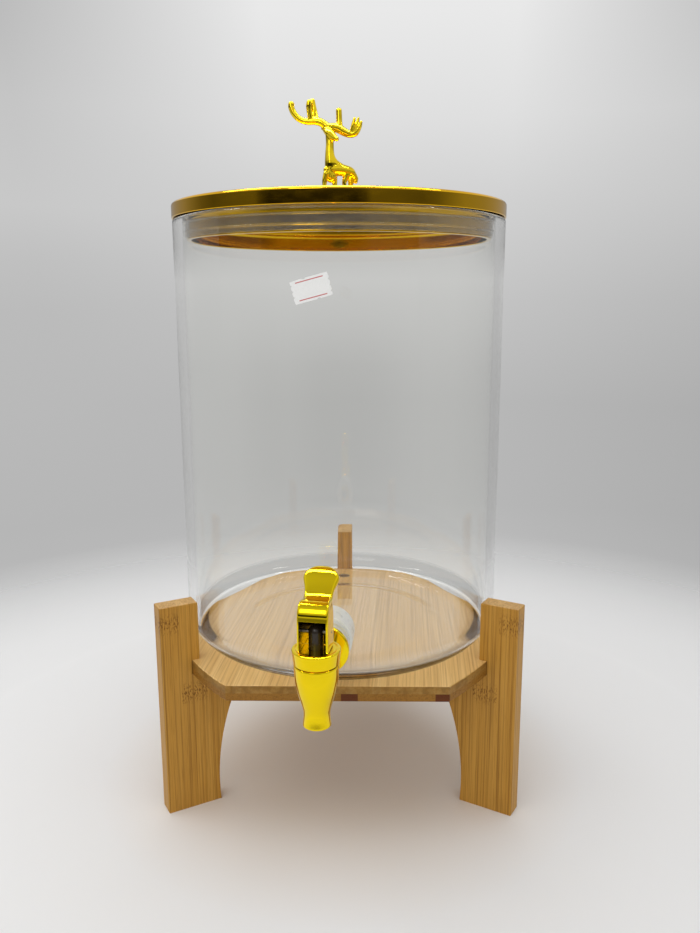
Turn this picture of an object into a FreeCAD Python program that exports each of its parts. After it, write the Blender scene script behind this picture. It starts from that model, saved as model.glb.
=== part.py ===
import FreeCAD, Part
import math
import os

# Glass beverage dispenser: a clear jar with a spring tap and a lid with a deer knob,
# on a three-legged bamboo stand. Millimetres. Z is up, the origin is the stand's centre
# on the table, and the tap faces -Y.

# Stand
stand_turn = 3.65            # degrees that the stand is turned under the jar
plate_top = 102.5            # height of the plate's upper face
ply_thickness = 5.0          # each of the two boards
plate_inset = 9.0            # each straight edge, inside the jar's wall
corner_overhang = 0.7        # ends of each curved edge, outside it
corner_bulge = 5.6           # middle of a curved edge, beyond its ends
plate_edge_round = 0.7
leg_count = 3
leg_thickness = 12.0
post_gap = 1.4               # jar to each post
post_depth = 24.6            # post from front to back
post_height = 38.0           # post above the plate
shoulder_depth = 56.5        # shoulder under the plate, from the leg's outer face
waist_depth = 35.1           # leg where its inner edge is furthest out
waist_height = 18.0
foot_depth = 35.8
leg_edge_round = 0.8
joint_gap = 0.2              # plate edge to the bottom of the leg's notch
screw_depth = 43.0           # leg screws, from the leg's outer face
screw_head_radius = 4.2
screw_radius = 2.0
screw_length = 30.0
screw_rim = 0.5
screw_slot_width = 1.1
screw_slot_depth = 1.0
screw_clearance = 0.15

# Jar
jar_radius = 105.0
jar_wall = 6.0
jar_height = 273.5
jar_floor = 9.0
heel_radius = 22.0
inner_heel_radius = 3.0
lip_radius = 2.0
foot_ring_inner = 72.0       # inside this radius the bottom is pushed up
push_up = 0.5
push_up_slope = 12.0         # width of the slope up from the foot ring
label_width = 21.2
label_height = 12.4
label_thickness = 0.25
label_gap = 0.05
label_drop = 43.0            # its middle, below the jar's mouth
label_swing = -2.9           # degrees round the jar from the tap
label_tilt = 14.5

# Tap, fixed parts
tap_rise = 29.0              # tail's axis above the jar's bottom
flange_radius = 14.5
flange_thickness = 3.0
outer_washer_thickness = 3.0
inner_washer_thickness = 4.0
washer_radius = 13.8
tail_radius = 7.9
tail_bore_radius = 4.2
tail_end = 26.0              # how far the tail stands inside the glass
hole_clearance = 0.4
nut_radius = 14.3
nut_length = 20.0
thread_clearance = 0.05
neck_radius = 7.0
barrel_reach = 39.0          # glass to the barrel's axis
shoulder_rise = 7.5          # barrel's top edge above the tail's axis
barrel_top_radius = 12.1
barrel_outline = [(8.0, 11.7), (15.3, 10.4), (20.7, 8.9), (26.0, 7.5), (29.6, 7.25)]  # drop, radius
spout_length = 35.0          # barrel's top edge to the tip
spout_tip_radius = 7.75
spout_bore_radius = 5.2
seat_drop = 17.0             # valve's seat below the barrel's top edge
chamber_radius = 8.0
collar_radius = 10.2         # screwed collar inside the bonnet
collar_height = 5.5
bonnet_radius = 13.1
bonnet_foot_radius = 12.2
bonnet_height = 8.1
bonnet_groove_radius = 10.9
bonnet_groove_width = 0.7
bonnet_groove_depth = 0.5
bonnet_edge_round = 0.7
seam_gap = 0.6
gasket_thickness = 0.7

# Tap, moving parts
stem_radius = 4.0
stem_clearance = 0.06
stem_plate_radius = 6.6
stem_plate_thickness = 1.6
stub_radius = 1.6
stub_length = 1.5
seal_radius = 7.2
seal_thickness = 2.6
spring_wire = 0.8
spring_radius = 5.6
spring_turns = 6
spring_end_gap = 0.15
pin_radius = 1.0
pin_clearance = 0.05
pin_above_bonnet = 9.3
lever_gap = 0.3              # lever's foot above the bonnet
lever_turn = -5.5            # degrees that stem and lever stand turned about the barrel
lever_width = 16.8
cheek_thickness = 1.8
cam_offset = 4.6             # cam's centre ahead of the pin
cam_rise = 1.9               # and above it
lever_front = 9.5
web_thickness = 1.8
stem_room = 0.6              # stem's head to the lever's back web
shoulder_height = 17.6       # lever's shoulder above the pin
window_height = 10.7         # top of the lever's window above the pin
pad_neck_width = 13.8
pad_width = 17.6
pad_reach = 22.2             # pad's end behind the pin
pad_height = 30.0            # and above it
pad_thickness = 3.0

# Lid
lid_overhang = 0.3           # lid's rim beyond the glass
lid_height = 9.0
cap_wall = 1.0
cap_edge_round = 1.6
core_clearance = 0.2
pan_gap = 3.6                # pan's wall to the glass
pan_lip = 1.0                # bead round the pan's bottom
pan_wall = 0.8
pan_depth = 13.4
pan_hem = 1.8                # its wall with the fold behind it
ceiling_drop = 3.0           # pan's ceiling below the lid's rim
ceiling_round = 2.0
hem_round = 0.6
seal_gap = 1.8               # sleeve to the glass
rib_gap = 0.3                # ribs to the glass
seal_top_gap = 3.1           # bare pan between the ring and the lid's rim
seal_rib_width = 1.3
seal_rib_crown = 0.3         # roundness of a rib's crest
seal_rib_count = 2
seal_foot = 0.65             # bare sleeve below the lowest rib, in spaces between ribs
lid_screw_radius = 2.0
lid_screw_head_radius = 4.0
lid_screw_head_height = 2.4
lid_washer_radius = 6.0
lid_washer_thickness = 0.8
lid_hole_clearance = 0.2

# Knob
plinth_radius = 10.0
plinth_height = 5.0
screw_cover = 0.6            # metal left over the screw hole

# Places worked out from the sizes above
side_angle = 360.0 / leg_count
plate_bottom = plate_top - 2 * ply_thickness
plate_flat = jar_radius - plate_inset
curve_ends = jar_radius + corner_overhang
plate_reach = curve_ends + corner_bulge
half_side = math.radians(side_angle / 2)
plate_corner = (curve_ends - plate_flat * math.cos(half_side)) / math.sin(half_side)
post_inner = jar_radius + post_gap
leg_outer = post_inner + post_depth
shoulder_inner = leg_outer - shoulder_depth
leg_waist = leg_outer - waist_depth
foot_inner = leg_outer - foot_depth
screw_place = leg_outer - screw_depth
jar_base = plate_top
jar_top = jar_base + jar_height
jar_inner = jar_radius - jar_wall
label_centre = jar_top - label_drop
tap_height = jar_base + tap_rise
flange_back = jar_radius + outer_washer_thickness
flange_front = flange_back + flange_thickness
nut_seat = jar_inner - inner_washer_thickness
barrel_y = -(jar_radius + barrel_reach)
barrel_shoulder = tap_height + shoulder_rise
spout_tip = barrel_shoulder - spout_length
seat_height = barrel_shoulder - seat_drop
bonnet_base = barrel_shoulder + seam_gap
bonnet_top = bonnet_base + bonnet_height
collar_top = barrel_shoulder + collar_height
stem_plate_base = seat_height + seal_thickness
spring_base = stem_plate_base + stem_plate_thickness
bonnet_ceiling = collar_top + gasket_thickness
pin_height = bonnet_top + pin_above_bonnet
foot_drop = pin_above_bonnet - lever_gap
cam_radius = foot_drop + cam_rise
lid_base = jar_top
lid_top = lid_base + lid_height
lid_radius = jar_radius + lid_overhang
pan_base = lid_base - pan_depth
pan_radius = jar_inner - pan_gap
pan_lip_radius = pan_radius + pan_lip
pan_inner = pan_radius - pan_hem
pan_ceiling = lid_base - ceiling_drop
seal_body_radius = jar_inner - seal_gap
seal_rib_radius = jar_inner - rib_gap
pan_flange_radius = lid_radius - cap_wall - core_clearance
deer_foot = lid_top + plinth_height
leg_names = ["leg_back", "leg_left", "leg_right"]
leg_angles = {name: 90.0 + side_angle * place for place, name in enumerate(leg_names)}

X = FreeCAD.Vector(1, 0, 0)
Y = FreeCAD.Vector(0, 1, 0)
Z = FreeCAD.Vector(0, 0, 1)
ORIGIN = FreeCAD.Vector(0, 0, 0)


def vec(x, y, z):
    return FreeCAD.Vector(x, y, z)


def plane_xy(height):
    return lambda a, b: vec(a, b, height)


def plane_rz(a, b):
    # a is the distance from the axis, b the height
    return vec(a, 0, b)


def face_of(start, steps, place):
    # Each step is ("line", end) or ("arc", middle, end), in the plane that place maps to space
    edges = []
    here = start
    for step in steps:
        if step[0] == "line":
            end = step[1]
            edges.append(Part.LineSegment(place(*here), place(*end)).toShape())
        else:
            middle, end = step[1], step[2]
            edges.append(Part.Arc(place(*here), place(*middle), place(*end)).toShape())
        here = end
    return Part.Face(Part.Wire(edges))


def turned(start, steps, centre=ORIGIN):
    # A profile in distance and height, spun about the upright axis through centre
    solid = face_of(start, steps, plane_rz).revolve(ORIGIN, Z, 360)
    solid.translate(centre)
    return solid


def turned_ring(inner, outer, low, high, centre=ORIGIN):
    corners = [(outer, low), (outer, high), (inner, high), (inner, low)]
    steps = [("line", corner) for corner in corners]
    return turned((inner, low), steps, centre)


def disc(radius, low, high, centre=ORIGIN):
    return Part.makeCylinder(radius, high - low, centre + vec(0, 0, low), Z)


def rod_along_y(radius, near, far, height=tap_height):
    # near and far are distances in front of the jar's axis
    return Part.makeCylinder(radius, near - far, vec(0, -near, height), Y)


def on_circle(centre, radius, degrees):
    angle = math.radians(degrees)
    return (centre[0] + radius * math.cos(angle), centre[1] + radius * math.sin(angle))


def round_edges(solid, radius, wanted):
    edges = [edge for edge in solid.Edges if wanted(edge)]
    return solid.makeFillet(radius, edges) if edges else solid


def at_height(height):
    return lambda edge: all(abs(v.Z - height) < 0.01 for v in edge.Vertexes) and abs(
        edge.CenterOfMass.z - height) < 0.01


def turn_about_axis(solid, degrees):
    solid.rotate(ORIGIN, Z, degrees)
    return solid


def turn_about_barrel(solid, degrees):
    solid.rotate(vec(0, barrel_y, 0), Z, degrees)
    return solid


def export(name, solid):
    if solid.ShapeType == "Compound" and len(solid.Solids) == 1:
        solid = solid.Solids[0]
    if not solid.isValid():
        print("not valid:", name)
    solid.exportStep("parts/" + name + ".step")
    print(name, len(solid.Solids), "solid,", round(solid.Volume / 1000.0, 3), "cm3")


# Stand

def plate_outline(low, high, grow=0.0):
    # Three straight edges, joined by three shallow curves where the legs stand
    flat = plate_flat + grow
    corner = plate_corner
    reach = plate_reach + grow
    steps = []
    first = None
    for side in range(leg_count):
        front = -90.0 + side_angle * side
        across = math.radians(front + 90.0)
        out = math.radians(front)
        middle = (flat * math.cos(out), flat * math.sin(out))
        half = (corner * math.cos(across), corner * math.sin(across))
        left = (middle[0] - half[0], middle[1] - half[1])
        right = (middle[0] + half[0], middle[1] + half[1])
        if first is None:
            first = left
        else:
            steps.append(("arc", on_circle((0, 0), reach, front - side_angle / 2), left))
        steps.append(("line", right))
    steps.append(("arc", on_circle((0, 0), reach, -90.0 - side_angle / 2), first))
    return face_of(first, steps, plane_xy(low)).extrude(vec(0, 0, high - low))


def screw_points():
    return [on_circle((0, 0), screw_place, angle) for angle in leg_angles.values()]


def screw_solid(x, y, grow=0.0, slot=True):
    # Countersunk head, flush with the plate, and a pointed shank
    head = screw_head_radius + grow
    shank = screw_radius + grow
    cone = head - shank
    tip = plate_top - screw_length - grow
    rim = plate_top - screw_rim
    steps = [("line", (head, plate_top)),
             ("line", (head, rim)),
             ("line", (shank, rim - cone)),
             ("line", (shank, tip + 2 * shank)),
             ("line", (0, tip)),
             ("line", (0, plate_top))]
    screw = turned((0, plate_top), steps, vec(x, y, 0))
    if slot:
        for turn in (0, 90):
            bar = Part.makeBox(1.2 * head, screw_slot_width, screw_slot_depth,
                               vec(x - 0.6 * head, y - screw_slot_width / 2, plate_top - screw_slot_depth))
            bar.rotate(vec(x, y, 0), Z, turn + 20)
            screw = screw.cut(bar)
    return screw


def screw_holes():
    holes = [screw_solid(x, y, screw_clearance, slot=False) for x, y in screw_points()]
    return Part.makeCompound(holes)


def stand_ply(low, high, rounded):
    board = plate_outline(low, high)
    board = round_edges(board, plate_edge_round, at_height(rounded))
    return turn_about_axis(board.cut(screw_holes()), stand_turn)


def stand_leg(angle):
    # A plank on edge: foot, waist, shoulder under the plate, notch and post
    notch = plate_reach + joint_gap
    post_top = plate_top + post_height
    mid_height = (plate_bottom + waist_height) / 2
    sag = (leg_waist - shoulder_inner) * 0.26
    low_height = waist_height / 2
    steps = [("line", (leg_outer, 0)), ("line", (leg_outer, post_top)), ("line", (post_inner, post_top)),
             ("line", (post_inner, plate_top)), ("line", (notch, plate_top)),
             ("line", (notch, plate_bottom)),
             ("line", (shoulder_inner, plate_bottom)),
             ("arc", (leg_waist - sag, mid_height), (leg_waist, waist_height)),
             ("arc", (leg_waist - 0.18 * (leg_waist - foot_inner), low_height), (foot_inner, 0))]
    outline = face_of((foot_inner, 0), steps, plane_rz)
    outline.translate(vec(0, -leg_thickness / 2, 0))
    leg = outline.extrude(vec(0, leg_thickness, 0))

    def outer_corner(edge):
        upright = all(abs(v.X - leg_outer) < 0.01 for v in edge.Vertexes)
        top = all(abs(v.Z - post_top) < 0.01 for v in edge.Vertexes)
        return (upright or top) and edge.Length > leg_thickness / 2

    leg = round_edges(leg, leg_edge_round, outer_corner)
    leg.rotate(ORIGIN, Z, angle)
    return turn_about_axis(leg.cut(screw_holes()), stand_turn)


def leg_screws():
    screws = Part.makeCompound([screw_solid(x, y) for x, y in screw_points()])
    return turn_about_axis(screws, stand_turn)


# Jar

def glass_jar():
    heel = (jar_radius - heel_radius, jar_base + heel_radius)
    floor = jar_base + jar_floor
    inner = (jar_inner - inner_heel_radius, floor + inner_heel_radius)
    outer_lip = (jar_radius - lip_radius, jar_top - lip_radius)
    inner_lip = (jar_inner + lip_radius, jar_top - lip_radius)
    steps = [("line", (foot_ring_inner - push_up_slope, jar_base + push_up)),
             ("line", (foot_ring_inner, jar_base)),
             ("line", (heel[0], jar_base)),
             ("arc", on_circle(heel, heel_radius, -45), (jar_radius, heel[1])),
             ("line", (jar_radius, outer_lip[1])),
             ("arc", on_circle(outer_lip, lip_radius, 45), (outer_lip[0], jar_top)),
             ("line", (inner_lip[0], jar_top)),
             ("arc", on_circle(inner_lip, lip_radius, 135), (jar_inner, inner_lip[1])),
             ("line", (jar_inner, inner[1])),
             ("arc", on_circle(inner, inner_heel_radius, -45), (inner[0], floor)),
             ("line", (0, floor)),
             ("line", (0, jar_base + push_up))]
    jar = turned((0, jar_base + push_up), steps)
    return jar.cut(rod_along_y(tail_radius + hole_clearance, jar_radius + jar_wall, jar_inner - jar_wall))


def price_label():
    inner = jar_radius + label_gap
    low = label_centre - label_width
    high = label_centre + label_width
    shell = turned_ring(inner, inner + label_thickness, low, high)
    corner = vec(-label_width / 2, -2 * jar_wall, -label_height / 2)
    patch = Part.makeBox(label_width, 4 * jar_wall, label_height, corner)
    patch = round_edges(patch, 1.0, lambda edge: abs(edge.tangentAt(edge.FirstParameter).y) > 0.99)
    patch.rotate(ORIGIN, Y, -label_tilt)
    patch.translate(vec(0, -inner, label_centre))
    patch.rotate(ORIGIN, Z, label_swing)
    return shell.common(patch)


def outer_washer():
    ring = rod_along_y(washer_radius, flange_back, jar_radius - 3)
    ring = ring.cut(disc(jar_radius, tap_height - flange_radius - 1, tap_height + flange_radius + 1))
    return ring.cut(rod_along_y(tail_radius + hole_clearance, flange_back + 1, jar_inner))


def inner_washer():
    ring = rod_along_y(washer_radius, jar_radius, nut_seat)
    ring = ring.common(disc(jar_inner, tap_height - flange_radius - 1, tap_height + flange_radius + 1))
    low = turned_ring(0, jar_inner - inner_heel_radius, jar_base, jar_base + jar_floor)
    ring = ring.cut(low)
    return ring.cut(rod_along_y(tail_radius + hole_clearance, jar_radius, nut_seat - 1))


def tap_nut():
    nut = rod_along_y(nut_radius, nut_seat, nut_seat - nut_length)
    nut = round_edges(nut, 1.2, lambda edge: edge.CenterOfMass.y > -nut_seat + nut_length - 0.01)
    nut = round_edges(nut, 0.5, lambda edge: abs(edge.CenterOfMass.y + nut_seat) < 0.01)
    return nut.cut(rod_along_y(tail_radius + thread_clearance, nut_seat + 1, nut_seat - nut_length - 1))


# Tap

def barrel_profile():
    # Upright outline of the barrel and spout, from the tip up to the shoulder
    points = [vec(spout_tip_radius, 0, spout_tip)]
    points += [vec(radius, 0, barrel_shoulder - drop) for drop, radius in reversed(barrel_outline)]
    points.append(vec(barrel_top_radius, 0, barrel_shoulder))
    curve = Part.BSplineCurve()
    curve.interpolate(points)
    return curve.toShape()


def barrel():
    side = barrel_profile()
    corners = [vec(barrel_top_radius, 0, barrel_shoulder), vec(collar_radius, 0, barrel_shoulder),
               vec(collar_radius, 0, collar_top), vec(0, 0, collar_top), vec(0, 0, spout_tip),
               vec(spout_tip_radius, 0, spout_tip)]
    edges = [side] + [Part.LineSegment(a, b).toShape() for a, b in zip(corners, corners[1:])]
    solid = Part.Face(Part.Wire(edges)).revolve(ORIGIN, Z, 360)
    solid.translate(vec(0, barrel_y, 0))
    return solid


def tap_body():
    axis = vec(0, barrel_y, 0)
    flange = rod_along_y(flange_radius, flange_front, flange_back)
    flange = round_edges(flange, 1.0, lambda edge: abs(edge.CenterOfMass.y + flange_front) < 0.01)
    tail = rod_along_y(tail_radius, flange_back, jar_inner - tail_end)
    neck = rod_along_y(neck_radius, -barrel_y, flange_front)
    body = barrel().fuse([neck, flange, tail])
    chamber = disc(chamber_radius, seat_height, collar_top + 1, axis)
    outlet = disc(spout_bore_radius, spout_tip - 1, seat_height + 1, axis)
    inlet = rod_along_y(tail_bore_radius, -barrel_y, jar_inner - tail_end - 1)
    return body.cut([chamber, outlet, inlet]).removeSplitter()


def tap_bonnet():
    groove_in = bonnet_groove_radius
    groove_out = bonnet_groove_radius + bonnet_groove_width
    groove_floor = bonnet_top - bonnet_groove_depth
    skirt = collar_radius + 0.15
    hole = stem_radius + stem_clearance
    top_round = bonnet_edge_round
    round_centre = (bonnet_radius - top_round, bonnet_top - top_round)
    steps = [("line", (bonnet_foot_radius, bonnet_base)),
             ("line", (bonnet_radius, bonnet_top - top_round)),
             ("arc", on_circle(round_centre, top_round, 45), (bonnet_radius - top_round, bonnet_top)),
             ("line", (groove_out, bonnet_top)),
             ("line", (groove_out, groove_floor)),
             ("line", (groove_in, groove_floor)),
             ("line", (groove_in, bonnet_top)),
             ("line", (hole, bonnet_top)),
             ("line", (hole, bonnet_ceiling)),
             ("line", (skirt, bonnet_ceiling)),
             ("line", (skirt, bonnet_base))]
    return turned((skirt, bonnet_base), steps, vec(0, barrel_y, 0))


def bonnet_gasket():
    inner = chamber_radius + 0.1
    outer = collar_radius - 0.1
    return turned_ring(inner, outer, collar_top, bonnet_ceiling, vec(0, barrel_y, 0))


def valve_spring():
    # An open helix, from the stem's plate up to the bonnet
    low = spring_base + spring_wire / 2 + spring_end_gap
    high = bonnet_ceiling - spring_wire / 2 - spring_end_gap
    pitch = (high - low) / spring_turns
    path = Part.makeHelix(pitch, high - low, spring_radius)
    wire = Part.Wire([Part.makeCircle(spring_wire / 2, vec(spring_radius, 0, 0), Y)])
    coil = Part.Wire(path.Edges).makePipeShell([wire], True, True)
    coil.translate(vec(0, barrel_y, low))
    return coil


def valve_stem():
    axis = vec(0, barrel_y, 0)
    head = pin_height + stem_radius
    rod = disc(stem_radius, stem_plate_base, head, axis)
    dome = Part.makeCylinder(stem_radius, 2 * stem_radius, vec(-stem_radius, barrel_y, pin_height), X)
    dome = dome.fuse(disc(stem_radius, stem_plate_base, pin_height, axis))
    rod = rod.common(dome)
    plate = disc(stem_plate_radius, stem_plate_base, spring_base, axis)
    stub = disc(stub_radius, stem_plate_base - stub_length, stem_plate_base, axis)
    stem = rod.fuse([plate, stub]).removeSplitter()
    hole = pin_radius + pin_clearance
    side = vec(-2 * stem_radius, barrel_y, pin_height)
    stem = stem.cut(Part.makeCylinder(hole, 4 * stem_radius, side, X))
    return turn_about_barrel(stem, lever_turn)


def valve_seal():
    axis = vec(0, barrel_y, 0)
    seal = disc(seal_radius, seat_height, stem_plate_base, axis)
    seal = round_edges(seal, 0.5, at_height(stem_plate_base))
    hole_floor = stem_plate_base - stub_length - 0.1
    return seal.cut(disc(stub_radius + thread_clearance, hole_floor, stem_plate_base + 1, axis))


# Lever, drawn from the side: ahead of the pin, and above it

def lever_plane(x):
    return lambda ahead, above: vec(x, barrel_y - ahead, pin_height + above)


def cam_point(ahead):
    return (ahead, cam_rise - math.sqrt(cam_radius ** 2 - (ahead - cam_offset) ** 2))


def web_back():
    return -(stem_radius + stem_room + web_thickness)


def lever_side(width):
    # Cam foot, upright front, rounded shoulder, a crease, then the sloping thumb pad with its lip
    shoulder = shoulder_height
    back = web_back()
    crease = (-4.0, shoulder - 1.2)
    pad_top = (-13.6, pad_height - 3.5)
    slope = math.atan2(pad_top[1] - crease[1], pad_top[0] - crease[0])
    under = (pad_top[0] + pad_thickness * math.cos(slope + math.pi / 2),
             pad_top[1] + pad_thickness * math.sin(slope + math.pi / 2))
    web_top = under[1] - (back - under[0]) * abs(math.tan(slope))
    steps = [("line", (cam_offset, -foot_drop)),
             ("arc", cam_point((cam_offset + lever_front) / 2), cam_point(lever_front)),
             ("line", (lever_front, shoulder - 4.2)),
             ("arc", (lever_front - 2.3, shoulder - 1.1), (1.0, shoulder)),
             ("line", crease),
             ("line", pad_top),
             ("arc", (-17.3, pad_height - 0.8), (-20.5, pad_height)),
             ("arc", (-pad_reach, pad_height - 1.4), (-pad_reach + 0.5, pad_height - pad_thickness)),
             ("line", under),
             ("line", (back, web_top)),
             ("line", (back, -foot_drop))]
    place = lever_plane(-width / 2)
    return face_of((back, -foot_drop), steps, place).extrude(vec(width, 0, 0))


def lever_plan():
    # Seen from above: straight sides, a narrower neck, then a rounded pad
    half = lever_width / 2
    neck = pad_neck_width / 2
    pad = pad_width / 2
    low = -foot_drop - 1
    tall = pad_height + foot_drop + 2
    place = lambda across, ahead: vec(across, barrel_y - ahead, pin_height + low)
    steps = [("line", (half, -0.5)),
             ("arc", (half - 0.9, -4.0), (neck, -7.0)),
             ("arc", (neck + 0.9, -10.5), (pad, -15.0)),
             ("arc", (pad * 0.72, -pad_reach + 1.9), (0, -pad_reach - 0.1)),
             ("arc", (-pad * 0.72, -pad_reach + 1.9), (-pad, -15.0)),
             ("arc", (-neck - 0.9, -10.5), (-neck, -7.0)),
             ("arc", (-half + 0.9, -4.0), (-half, -0.5)),
             ("line", (-half, lever_front + 1)),
             ("line", (half, lever_front + 1))]
    return face_of((half, lever_front + 1), steps, place).extrude(vec(0, 0, tall))


def lever_pocket():
    # The open room between the cheeks, where the stem's head stands
    half = lever_width / 2 - cheek_thickness
    back = -(stem_radius + stem_room)
    front = lever_front - cheek_thickness
    ceiling = shoulder_height - cheek_thickness
    steps = [("line", (lever_front + 2, -foot_drop - 2)),
             ("line", (lever_front + 2, window_height)),
             ("line", (front, window_height)),
             ("line", (front, ceiling - 4.0)),
             ("arc", (front - 1.6, ceiling - 1.2), (front - 5.0, ceiling)),
             ("line", (back + 1, ceiling - 0.4)),
             ("line", (back, ceiling - 2)),
             ("line", (back, -foot_drop - 2))]
    return face_of((back, -foot_drop - 2), steps, lever_plane(-half)).extrude(vec(2 * half, 0, 0))


def tap_lever():
    lever = lever_side(pad_width + 2).common(lever_plan()).Solids[0]

    def front_corner(edge):
        ahead = [barrel_y - v.Y for v in edge.Vertexes]
        upright = abs(edge.tangentAt(edge.FirstParameter).z) > 0.99
        return upright and min(ahead) > lever_front - 0.01 and edge.Length > foot_drop

    lever = round_edges(lever, 1.0, front_corner)
    lever = lever.cut(lever_pocket())
    reach = pad_width + 4
    hole = Part.makeCylinder(pin_radius + pin_clearance, reach, vec(-reach / 2, barrel_y, pin_height), X)
    return turn_about_barrel(lever.cut(hole), lever_turn)


def lever_pin():
    length = lever_width
    pin = Part.makeCylinder(pin_radius, length, vec(-length / 2, barrel_y, pin_height), X)
    return turn_about_barrel(pin, lever_turn)


# Lid

def lid_cap():
    inner = lid_radius - cap_wall
    round_centre = (lid_radius - cap_edge_round, lid_top - cap_edge_round)
    hole = lid_screw_radius + lid_hole_clearance
    steps = [("line", (lid_radius, lid_base)),
             ("line", (lid_radius, round_centre[1])),
             ("arc", on_circle(round_centre, cap_edge_round, 45), (round_centre[0], lid_top)),
             ("line", (hole, lid_top)),
             ("line", (hole, lid_top - cap_wall)),
             ("line", (inner, lid_top - cap_wall)),
             ("line", (inner, lid_base))]
    return turned((inner, lid_base), steps)


def lid_core():
    hole = lid_screw_radius + lid_hole_clearance
    lower = pan_radius - pan_wall - core_clearance
    upper = pan_flange_radius
    step = lid_base + pan_wall
    steps = [("line", (lower, pan_ceiling + pan_wall)),
             ("line", (lower, step)),
             ("line", (upper, step)),
             ("line", (upper, lid_top - cap_wall)),
             ("line", (hole, lid_top - cap_wall)),
             ("line", (hole, pan_ceiling + pan_wall))]
    return turned((hole, pan_ceiling + pan_wall), steps)


def lid_pan():
    # A collar that enters the mouth, folded back inside, and a ceiling across it
    hole = lid_screw_radius + lid_hole_clearance
    inner = pan_radius - pan_wall
    corner = (pan_inner - ceiling_round, pan_ceiling - ceiling_round)
    fold = (pan_inner + hem_round, pan_base + hem_round)
    steps = [("line", (corner[0], pan_ceiling)),
             ("arc", on_circle(corner, ceiling_round, 45), (pan_inner, corner[1])),
             ("line", (pan_inner, fold[1])),
             ("arc", on_circle(fold, hem_round, 225), (fold[0], pan_base)),
             ("line", (pan_lip_radius, pan_base)),
             ("line", (pan_lip_radius, pan_base + pan_wall)),
             ("line", (pan_radius, pan_base + pan_wall)),
             ("line", (pan_radius, lid_base)),
             ("line", (pan_flange_radius, lid_base)),
             ("line", (pan_flange_radius, lid_base + pan_wall)),
             ("line", (inner, lid_base + pan_wall)),
             ("line", (inner, pan_ceiling + pan_wall)),
             ("line", (hole, pan_ceiling + pan_wall)),
             ("line", (hole, pan_ceiling))]
    return turned((hole, pan_ceiling), steps)


def lid_seal():
    # A sleeve with even ribs that press on the glass, the highest along its upper edge
    low = pan_base + pan_wall
    high = lid_base - seal_top_gap
    half = seal_rib_width / 2
    rib_edge = seal_rib_radius - seal_rib_crown
    pitch = (high - low) / (seal_rib_count - 1 + seal_foot)
    steps = [("line", (seal_body_radius, low))]
    for rib in reversed(range(seal_rib_count)):
        middle = high - half - rib * pitch
        steps.append(("line", (seal_body_radius, middle - half)))
        steps.append(("line", (rib_edge, middle - half)))
        steps.append(("arc", (seal_rib_radius, middle), (rib_edge, middle + half)))
        steps.append(("line", (seal_body_radius, middle + half)))
    steps += [("line", (pan_radius, high)), ("line", (pan_radius, low))]
    return turned((pan_radius, low), steps)


def lid_screw():
    seat = pan_ceiling - lid_washer_thickness
    head = lid_screw_head_radius
    low = seat - lid_screw_head_height
    tip = deer_foot - screw_cover - 0.2
    steps = [("line", (0.45 * head, low)),
             ("arc", (0.86 * head, low + 0.35 * lid_screw_head_height), (head, seat - 0.4)),
             ("line", (head, seat)),
             ("line", (lid_screw_radius, seat)),
             ("line", (lid_screw_radius, tip - 0.5)),
             ("line", (lid_screw_radius - 0.5, tip)),
             ("line", (0, tip)),
             ("line", (0, low))]
    screw = turned((0, low), steps)
    for turn in (0, 90):
        bar = Part.makeBox(1.1 * head, 1.0, 1.2, vec(-0.55 * head, -0.5, low))
        bar.rotate(ORIGIN, Z, turn)
        screw = screw.cut(bar)
    return screw


def lid_screw_washer():
    inner = lid_screw_radius + lid_hole_clearance
    return turned_ring(inner, lid_washer_radius, pan_ceiling - lid_washer_thickness, pan_ceiling)


# Knob: a standing deer. Points are x, y and the height above its hooves

torso = [(-7.0, -4.6, 17.0, 2.4), (-5.0, -3.6, 17.2, 3.9), (-1.0, -1.2, 17.6, 4.0),
         (3.6, 1.4, 17.2, 3.6), (6.8, 3.4, 16.4, 3.3), (8.4, 4.6, 15.0, 2.5)]
withers = [(-5.2, -3.6, 25.0, 2.9), (-3.2, -2.4, 20.8, 3.5), (0.5, -0.4, 18.2, 3.6)]
neck = [(-4.8, -3.4, 12.8, 3.4), (-4.9, -3.6, 21.0, 3.7), (-5.4, -3.8, 26.9, 2.9), (-5.3, -3.8, 32.5, 2.5),
        (-5.4, -3.4, 38.6, 2.7)]
head = [(-9.4, -0.8, 42.2, 1.3), (-7.6, -1.8, 41.0, 2.3), (-4.8, -4.0, 38.3, 2.8), (-2.4, -6.0, 35.9, 2.2),
        (-0.6, -7.4, 34.8, 1.5)]
ears = [[(-8.2, 0.2, 41.6, 1.3), (-9.2, 0.2, 42.2, 1.3), (-10.2, 0.0, 42.4, 1.0)],
        [(-4.2, 0.0, 41.4, 1.2), (-2.8, 1.6, 42.2, 1.1), (-1.8, 2.6, 42.6, 0.7)]]
legs = [[(-7.2, -5.2, 14.5, 2.4), (-8.5, -5.6, 10.5, 1.7),
         (-8.7, -5.6, 5.5, 1.3), (-8.3, -5.4, 0.0, 1.5)],
        [(-3.4, -1.6, 14.5, 2.4), (-2.7, -1.2, 10.0, 1.8),
         (-2.7, -1.4, 5.5, 1.3), (-2.5, -1.4, 0.0, 1.5)],
        [(4.8, 1.2, 14.5, 2.4), (3.3, 0.4, 10.0, 1.5), (3.7, 0.2, 5.5, 1.2), (3.0, -0.2, 0.0, 1.4)],
        [(7.4, 5.0, 14.0, 2.6), (7.0, 5.0, 9.8, 1.8), (6.6, 5.4, 5.5, 1.3), (6.4, 5.0, 0.0, 1.5)]]
tail = [(8.8, 4.8, 15.4, 2.0), (10.2, 5.6, 12.8, 1.7), (10.2, 5.6, 11.0, 1.3)]
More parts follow.
